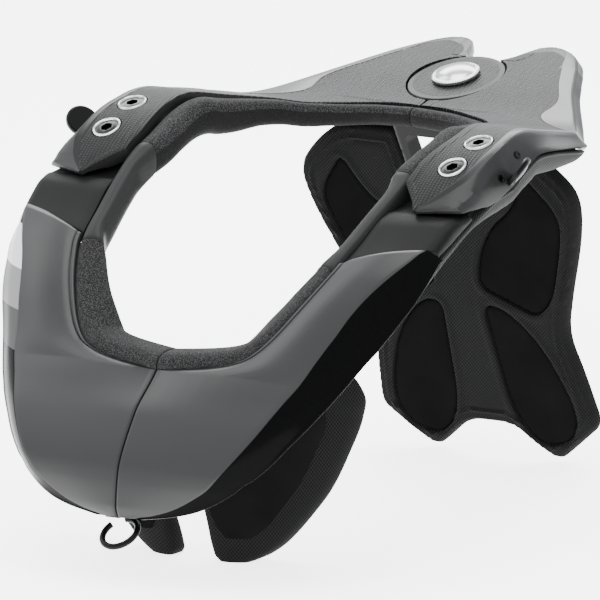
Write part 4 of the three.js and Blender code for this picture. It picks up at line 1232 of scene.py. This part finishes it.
def shoulder_rings(stations):
    read = all_columns(SHOULDER_ROWS, SHOULDER_COLUMNS, stations)
    inner = read["inner"] * HALF_WIDTH
    outer = read["outer"] * HALF_WIDTH
    low = read["low"] * ARM_SIDE
    top, side = np.interp(stations, *SHOULDER_TOP), np.interp(stations, *SHOULDER_SIDE)
    high = np.minimum(np.maximum(side, top), low - 3.5)
    corners = [
        (inner, top, 1),
        (outer - 7, top, 1),
        (outer - 6, high, 1),
        (outer - WELT, high + 0.1, 0.5),
        (outer + WELT, high + 0.9, 0.5),
        (outer - WELT * 0.5, high + 1.8, 0.4),
        (outer, (high + low) / 2, 2),
        (outer - 2.5, low - 1, 2.5),
        (outer - 9, low + 0.4, 4),
        ((inner + outer) / 2, low + 0.8, 6),
        (inner + 7, low + 0.4, 4),
        (inner, low - 4, 4),
    ]
    flat = rounded(corners, 4)
    return on_sheet(flat[:, :, 0], stations[:, None], flat[:, :, 1])


shoulder_stations = np.linspace(SHOULDER_ROWS[0][0], SHOULDER_ROWS[-1][0], 90)
shoulder_pad = loft("shoulder_pad", shoulder_rings(shoulder_stations), pad_cloth, None, 50)
for piece in dress_pair(shoulder_pad, "shoulder_pad", "pad"):
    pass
print("shoulder pad", len(shoulder_pad.data.polygons), "faces")

# %% [markdown]
# ## Chest pads
#
# Below the shells hang two tongue-shaped pads. Each has a band of open mesh round a smooth raised panel.
# Both are lofted from the bottom up, with sections that bow out in front.

# %% Chest pads and panels
CHEST_HALF = 104
CHEST_REACH = 246
CHEST_LEAN = 0.3
CHEST_WRAP = 0.005
CHEST_THICK = 13
CHEST_COLUMNS = ["down", "inner", "outer"]
CHEST_ROWS = [
    (0.46, 0.2, 0.86), (0.49, 0.14, 0.89), (0.525, 0.12, 0.93), (0.57, 0.115, 0.945),
    (0.62, 0.115, 0.92), (0.72, 0.115, 0.83), (0.81, 0.115, 0.73), (0.88, 0.115, 0.62),
    (0.943, 0.112, 0.5), (0.967, 0.115, 0.44), (0.985, 0.12, 0.38), (1, 0.15, 0.31),
]
PANEL_ROWS = [
    (0.56, 0.24, 0.82), (0.62, 0.2, 0.81), (0.7, 0.18, 0.74), (0.78, 0.18, 0.65),
    (0.85, 0.18, 0.54), (0.905, 0.2, 0.44), (0.93, 0.24, 0.37),
]


def chest_face(x, z):
    return -(CHEST_REACH + CHEST_LEAN * (z + STAND_HEIGHT)) + CHEST_WRAP * x * x


def chest_rings(rows, stations, front, thickness, shape):
    """Sections of a chest piece. shape gives (share across, share of the thickness set back, radius)."""
    inner = smooth_at(rows, CHEST_COLUMNS, "inner", stations) * CHEST_HALF
    outer = smooth_at(rows, CHEST_COLUMNS, "outer", stations) * CHEST_HALF
    z = -stations * STAND_HEIGHT
    corners = []
    for share, back, radius in shape:
        x = inner + (outer - inner) * share
        corners.append((x, -front + back * thickness, radius))
    flat = rounded(corners, 4)
    x = flat[:, :, 0]
    height = np.broadcast_to(z[:, None], x.shape)
    return np.stack([x, chest_face(x, height) + flat[:, :, 1], height], -1)


def shell_shadow():
    """Everything from just under the shells upward, to trim what lies below them."""
    stations = np.linspace(0.7, 1, 50)
    across = np.array([-20, HALF_WIDTH * 1.1, HALF_WIDTH * 1.1, -20])
    depth = np.array([-30, -30, SHELL_WALL + 0.6, SHELL_WALL + 0.6])
    rings = [on_sheet(across, along, depth) for along in stations]
    return loft("cutter", np.array(rings), chest_mesh)


PAD_SHAPE = [
    (0, 0.5, 3), (0.02, 0.16, 2), (0.1, 0.02, 3), (0.3, -0.03, 4), (0.5, -0.05, 4), (0.7, -0.03, 4),
    (0.9, 0.02, 3), (0.98, 0.16, 2), (1, 0.5, 3), (0.98, 0.85, 2), (0.85, 1, 3), (0.5, 1.02, 4),
    (0.15, 1, 3), (0.02, 0.85, 2),
]
PANEL_SHAPE = [
    (0, 0.9, 0.5), (0.03, 0.35, 1), (0.12, 0.05, 2), (0.5, -0.1, 5), (0.88, 0.05, 2),
    (0.97, 0.35, 1), (1, 0.9, 0.5), (0.5, 1.1, 1),
]
pad_stations = np.linspace(CHEST_ROWS[0][0] + 0.035, CHEST_ROWS[-1][0], 70)
chest_pad = loft("chest_pad", chest_rings(CHEST_ROWS, pad_stations, 0, CHEST_THICK, PAD_SHAPE), chest_mesh)
cut(chest_pad, [shell_shadow()])
for piece in dress_pair(chest_pad, "chest_pad", "pad"):
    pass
panel_stations = np.linspace(PANEL_ROWS[0][0], PANEL_ROWS[-1][0], 50)
panel_rings = chest_rings(PANEL_ROWS, panel_stations, 3.6, 4.4, PANEL_SHAPE)
chest_panel = loft("chest_panel", panel_rings, inset_leather)
dress_pair(chest_panel, "chest_panel", "inset")
print("chest pad", len(chest_pad.data.polygons), "faces")

# %% [markdown]
# ## Padded plates with an outline
#
# The back support and its insets are flat padded shapes, known by their outlines. A fine triangle net
# fills the outline, and each point is then raised by how far it is from the edge, so the face is crowned
# and the border can carry a sewn piping and a groove. The back is a flat copy, stitched on round the rim.

# %% A padded plate
BACK_SLOPE = 0.2755
BACK_SETBACK = 38
BACK_THICK = 9


def round_outline(outline, steps=8):
    """A closed outline in millimetres from (across, down, radius) shares."""
    corners = np.array([(a * HALF_WIDTH, -d * STAND_HEIGHT, r * HALF_WIDTH) for a, d, r in outline])
    ring = rounded([(x, z, r) for x, z, r in corners], steps)[0]
    step = np.linalg.norm(ring - np.roll(ring, -1, 0), axis=1)
    return ring[step > 0.05]


def resample(ring, spacing):
    closed = np.vstack([ring, ring[:1]])
    travel = np.concatenate([[0], np.cumsum(np.linalg.norm(np.diff(closed, axis=0), axis=1))])
    stops = np.linspace(0, travel[-1], max(8, int(travel[-1] / spacing)), endpoint=False)
    return np.stack([np.interp(stops, travel, closed[:, i]) for i in (0, 1)], 1)


def distance_to(points, ring):
    """The distance of each point from a closed outline, less than zero outside it."""
    a, b = ring, np.roll(ring, -1, 0)
    run = b - a
    best = np.full(len(points), 1e9)
    inside = np.zeros(len(points), bool)
    for p, q, r in zip(a, b, run):
        t = np.clip(((points - p) @ r) / (r @ r), 0, 1)
        best = np.minimum(best, np.linalg.norm(points - p - t[:, None] * r, axis=1))
        crosses = (p[1] > points[:, 1]) != (q[1] > points[:, 1])
        level = p[0] + (points[:, 1] - p[1]) / (r[1] if abs(r[1]) > 1e-12 else 1e-12) * r[0]
        inside ^= crosses & (points[:, 0] < level)
    return np.where(inside, best, -best)


def lean(points, height):
    """Moves flat points (x, z) with a height off the plate onto the leaning back."""
    facing = np.array([0, -1, -BACK_SLOPE]) / math.hypot(1, BACK_SLOPE)
    face = np.stack([points[:, 0], -BACK_SETBACK - BACK_SLOPE * points[:, 1], points[:, 1]], 1)
    return face + facing * np.asarray(height)[:, None]


def padded_plate(name, ring, spacing, front, back, finish, lines=()):
    """front and back give heights from the points; lines are more outlines that the net follows."""
    ring = resample(ring, spacing)
    low, high = ring.min(0), ring.max(0)
    grid = np.stack(
        np.meshgrid(np.arange(low[0], high[0], spacing), np.arange(low[1], high[1], spacing * 0.87)), -1
    )
    grid[1::2, :, 0] += spacing / 2
    grid = grid.reshape(-1, 2)
    grid = grid[distance_to(grid, ring) > spacing * 0.4]
    for line in lines:
        grid = grid[np.abs(distance_to(grid, line)) > spacing * 0.5]
    points = [Vector(p) for p in (*ring, *grid)]
    edges = []
    for line in lines:
        start = len(points)
        points += [Vector(p) for p in line]
        edges += [(start + i, start + (i + 1) % len(line)) for i in range(len(line))]
    net = delaunay_2d_cdt(points, edges, [list(range(len(ring)))], 1, 1e-4)
    flat = np.array([tuple(p) for p in net[0]])
    faces = [tuple(face) for face in net[2]]
    border = {}
    for face in faces:
        for a, b in zip(face, face[1:] + face[:1]):
            border[(a, b)] = border.get((a, b), 0) + 1
    loose = [(a, b) for a, b in border if (b, a) not in border]
    count = len(flat)
    both = np.vstack([lean(flat, front(flat)), lean(flat, back(flat))])
    faces += [tuple(i + count for i in reversed(face)) for face in net[2]]
    faces += [(b, a, a + count, b + count) for a, b in loose]
    return to_object(name, both, faces, finish, None, 45)


print("plate helper ready")

# %% [markdown]
# ## The back support
#
# It is a charcoal mesh cushion shaped like an hourglass, with a piping near its edge and four dark
# insets. The insets sit in shallow pockets, and the mesh rises a little round each.

# %% Back support and insets
BACK_OUTLINE = [
    (0.147, 0.118, 0.01), (0.36, 0.118, 0.05), (0.47, 0.14, 0.06), (0.57, 0.19, 0.06),
    (0.66, 0.255, 0.12), (0.625, 0.37, 0.2), (0.505, 0.55, 0.14), (0.452, 0.65, 0.14),
    (0.485, 0.745, 0.14), (0.515, 0.892, 0.05), (0.29, 1, 0.05), (0.105, 0.91, 0.06),
]
NOTCH = [(0.148, 0.118), (0.102, 0.312)]
INSETS = {
    "upper": [
        (0.43, 0.2, 0.05), (0.564, 0.303, 0.08), (0.55, 0.37, 0.1), (0.443, 0.545, 0.08),
        (0.357, 0.6, 0.06), (0.1, 0.53, 0.05), (0.121, 0.455, 0.08), (0.214, 0.36, 0.1),
        (0.343, 0.303, 0.1),
    ],
    "lower": [
        (0.095, 0.575, 0.06), (0.21, 0.585, 0.12), (0.35, 0.68, 0.14), (0.445, 0.85, 0.12),
        (0.4, 0.93, 0.08), (0.25, 0.965, 0.08), (0.125, 0.88, 0.14),
    ],
}
WALL_RUN = 0.45  # half of how far a pocket's wall runs in
PIPING_IN = 6.5  # from the outline to the piping
PIPING_WIDE = 1.7


def whole_outline(outline, notch):
    """The left half's outline with its mirror image and the notch between them."""
    right = [(-across, down, radius) for across, down, radius in reversed(outline)]
    (top, top_down), (foot, foot_down) = notch
    return outline + right[:-1] + [(-top, top_down, 0.01), (-foot, foot_down, 0.03), (foot, foot_down, 0.03)]


back_ring = round_outline(whole_outline(BACK_OUTLINE, NOTCH))
inset_rings = {name: round_outline(outline) for name, outline in INSETS.items()}
flip = np.array([-1, 1])
pocket_rings = [ring * side for ring in inset_rings.values() for side in (1, flip)]


def bell(value, middle, wide):
    return np.exp(-(((value - middle) / wide) ** 2))


def back_front(points):
    edge = distance_to(points, resample(back_ring, 2))
    height = 1.2 * np.clip(edge / 12, 0, 1) ** 0.5 - 1.2
    height -= 2.2 * np.clip(1 - edge / 2.2, 0, 1) ** 2
    height += 0.9 * bell(edge, PIPING_IN, PIPING_WIDE * 0.5) - 0.5 * bell(edge, PIPING_IN + 2, 0.8)
    height -= 0.5 * bell(edge, PIPING_IN - 2, 0.8)
    for ring in pocket_rings:
        inside = distance_to(points, resample(ring, 2))
        height += 0.8 * bell(inside, -2.4, 1.4)
        height -= 2.6 * np.clip(inside / WALL_RUN * 0.55 + 0.5, 0, 1)
    return height


def back_rear(points):
    edge = distance_to(points, resample(back_ring, 2))
    return -BACK_THICK + 2 * np.clip(1 - edge / 4, 0, 1) ** 2


def inset_front(ring):
    outline = resample(ring, 2)

    def height(points):
        edge = distance_to(points, outline)
        return 1.1 * np.clip(edge / 9, 0, 1) ** 0.6 - 0.9 - 1.4 * np.clip(1 - edge / 1.5, 0, 1) ** 2

    return height


def inward(ring, by):
    """The outline moved in by some millimetres."""
    run = np.roll(ring, -1, 0) - np.roll(ring, 1, 0)
    run /= np.linalg.norm(run, axis=1)[:, None]
    side = np.stack([-run[:, 1], run[:, 0]], 1)
    area = (ring[:, 0] * np.roll(ring[:, 1], -1) - np.roll(ring[:, 0], -1) * ring[:, 1]).sum()
    return ring + side * by * np.sign(area)


def flat_at(height):
    def level(points):
        return np.full(len(points), float(height))

    return level


pocket_lines = [inward(resample(ring, 1.6), by) for ring in pocket_rings for by in (-WALL_RUN, WALL_RUN)]
back_name = "back_support_made"
back_support = padded_plate(back_name, back_ring, 1.8, back_front, back_rear, back_mesh, pocket_lines)
dress(back_support, "back", "pad", "back_support")
for inset_name, ring in inset_rings.items():
    inset = padded_plate("inset", ring, 1.8, inset_front(ring), flat_at(-2.9), inset_leather)
    for piece in dress_pair(inset, f"back_inset_{inset_name}", "inset", ("back", "back")):
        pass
print("back support", len(back_support.data.polygons), "faces")

# %% [markdown]
# ## The bracket, the latch and the pull ring
#
# A small yoke with a window joins the hub to the back support. A plain latch block hides behind the
# chest seam, and an open ring of black wire hangs from it, tilted towards the viewer.

# %% Bracket, latch and ring
BRACKET_OUTLINE = [(0.146, 0.076, 0.03), (0.1, 0.31, 0.03), (-0.1, 0.31, 0.03), (-0.146, 0.076, 0.03)]
BRACKET_WINDOW = [(0.09, 0.125, 0.03), (0.056, 0.27, 0.03), (-0.056, 0.27, 0.03), (-0.09, 0.125, 0.03)]


def bracket_front(points):
    edge = distance_to(points, round_outline(BRACKET_OUTLINE))
    return 0.8 - 1.1 * np.clip(1 - edge / 1.6, 0, 1) ** 2


def spine_bracket():
    ring = round_outline(BRACKET_OUTLINE)
    made = padded_plate("spine_bracket_made", ring, 1.6, bracket_front, flat_at(-BACK_THICK), trim_black)
    window = round_outline(BRACKET_WINDOW)
    opening = padded_plate("cutter", window, 3, flat_at(20), flat_at(-30), trim_black)
    return cut(made, [opening, hub_cutter(FLANGE_RADIUS * 2, FLANGE_BOTTOM - 0.4, 60)])


RING_RADIUS = 10
RING_WIRE = 1.65
RING_TILT = math.radians(34)
RING_CENTRE = np.array([0, -FRONT_REACH + 1.3, -CHEST_DROP - 7.6])
RING_GAP_AT = math.radians(125)
RING_OPENING = math.radians(24)


def pull_ring():
    facing = np.array([0, -math.sin(RING_TILT), math.cos(RING_TILT)])
    up = np.array([0, math.cos(RING_TILT), math.sin(RING_TILT)])
    across = np.array([1.0, 0, 0])
    turns = np.linspace(0, 2 * math.pi, 20, endpoint=False)
    rings = []
    start = RING_GAP_AT + RING_OPENING
    for angle in np.linspace(start, start + 2 * math.pi - 2 * RING_OPENING, 90):
        spoke = across * math.cos(angle) + up * math.sin(angle)
        centre = RING_CENTRE + spoke * RING_RADIUS
        ring = centre + RING_WIRE * (np.cos(turns)[:, None] * spoke + np.sin(turns)[:, None] * facing)
        rings.append(ring)
    return loft("pull_ring_made", np.array(rings), trim_black)


dress(spine_bracket(), "back", "trim", "spine_bracket")
dress(pull_ring(), "right_half", "trim", "pull_ring")
frame["nodes"]["front_latch"].data.materials.clear()
frame["nodes"]["front_latch"].data.materials.append(trim_black)
print("bracket, latch and ring made")

# %% [markdown]
# ## Floor and light
#
# The photograph has a white ground and even studio light from above, with a soft highlight along the
# wing and shell. Large soft lamps and a pale world give that, and on the wing a painted sheen on the
# border adds to it. The floor is only a stage.

# %% Floor and lights
LAMPS = [  # name, azimuth, elevation, distance, size and power
    ("back", 212, 42, 1.5, (1.7, 0.7), 30),
    ("top", 20, 80, 1.6, (1.2, 1.2), 30),
    ("right", -70, 40, 1.8, (0.8, 1.2), 12),
]
FLOOR_HALF = 6


def soft_lamp(name, azimuth, elevation, distance, size, power):
    a, e = math.radians(azimuth), math.radians(elevation)
    towards = Vector((math.sin(a) * math.cos(e), -math.cos(a) * math.cos(e), math.sin(e)))
    lamp = bpy.data.objects.new(name, bpy.data.lights.new(name, "AREA"))
    lamp.data.shape = "RECTANGLE"
    lamp.data.size, lamp.data.size_y = size
    lamp.data.energy = power
    lamp.location = Vector(HUB) + towards * distance
    lamp.rotation_mode = "QUATERNION"
    lamp.rotation_quaternion = (-towards).to_track_quat("-Z", "Y")
    bpy.context.collection.objects.link(lamp)


def pale_floor():
    mesh = bpy.data.meshes.new("floor")
    corners = [(x * FLOOR_HALF, y * FLOOR_HALF, 0) for x, y in ((-1, -1), (1, -1), (1, 1), (-1, 1))]
    mesh.from_pydata(corners, [], [(0, 1, 2, 3)])
    finish = Finish("pale floor", Specular_IOR_Level=0.1)
    soft = finish.grain(finish.place(), 3)
    finish.paint(soft, 0.9, 0.93, 0.7, 0.1)
    finish.shader.inputs["Emission Strength"].default_value = 3.5
    mesh.materials.append(finish.material)
    floor = bpy.data.objects.new("floor", mesh)
    bpy.context.collection.objects.link(floor)


pale_floor()
world = bpy.data.worlds.new("studio")
world.use_nodes = True
world.node_tree.nodes["Background"].inputs["Color"].default_value = (0.9, 0.92, 0.95, 1)
world.node_tree.nodes["Background"].inputs["Strength"].default_value = 2.0
bpy.context.scene.world = world
for lamp in LAMPS:
    soft_lamp(*lamp)
print("stage set")
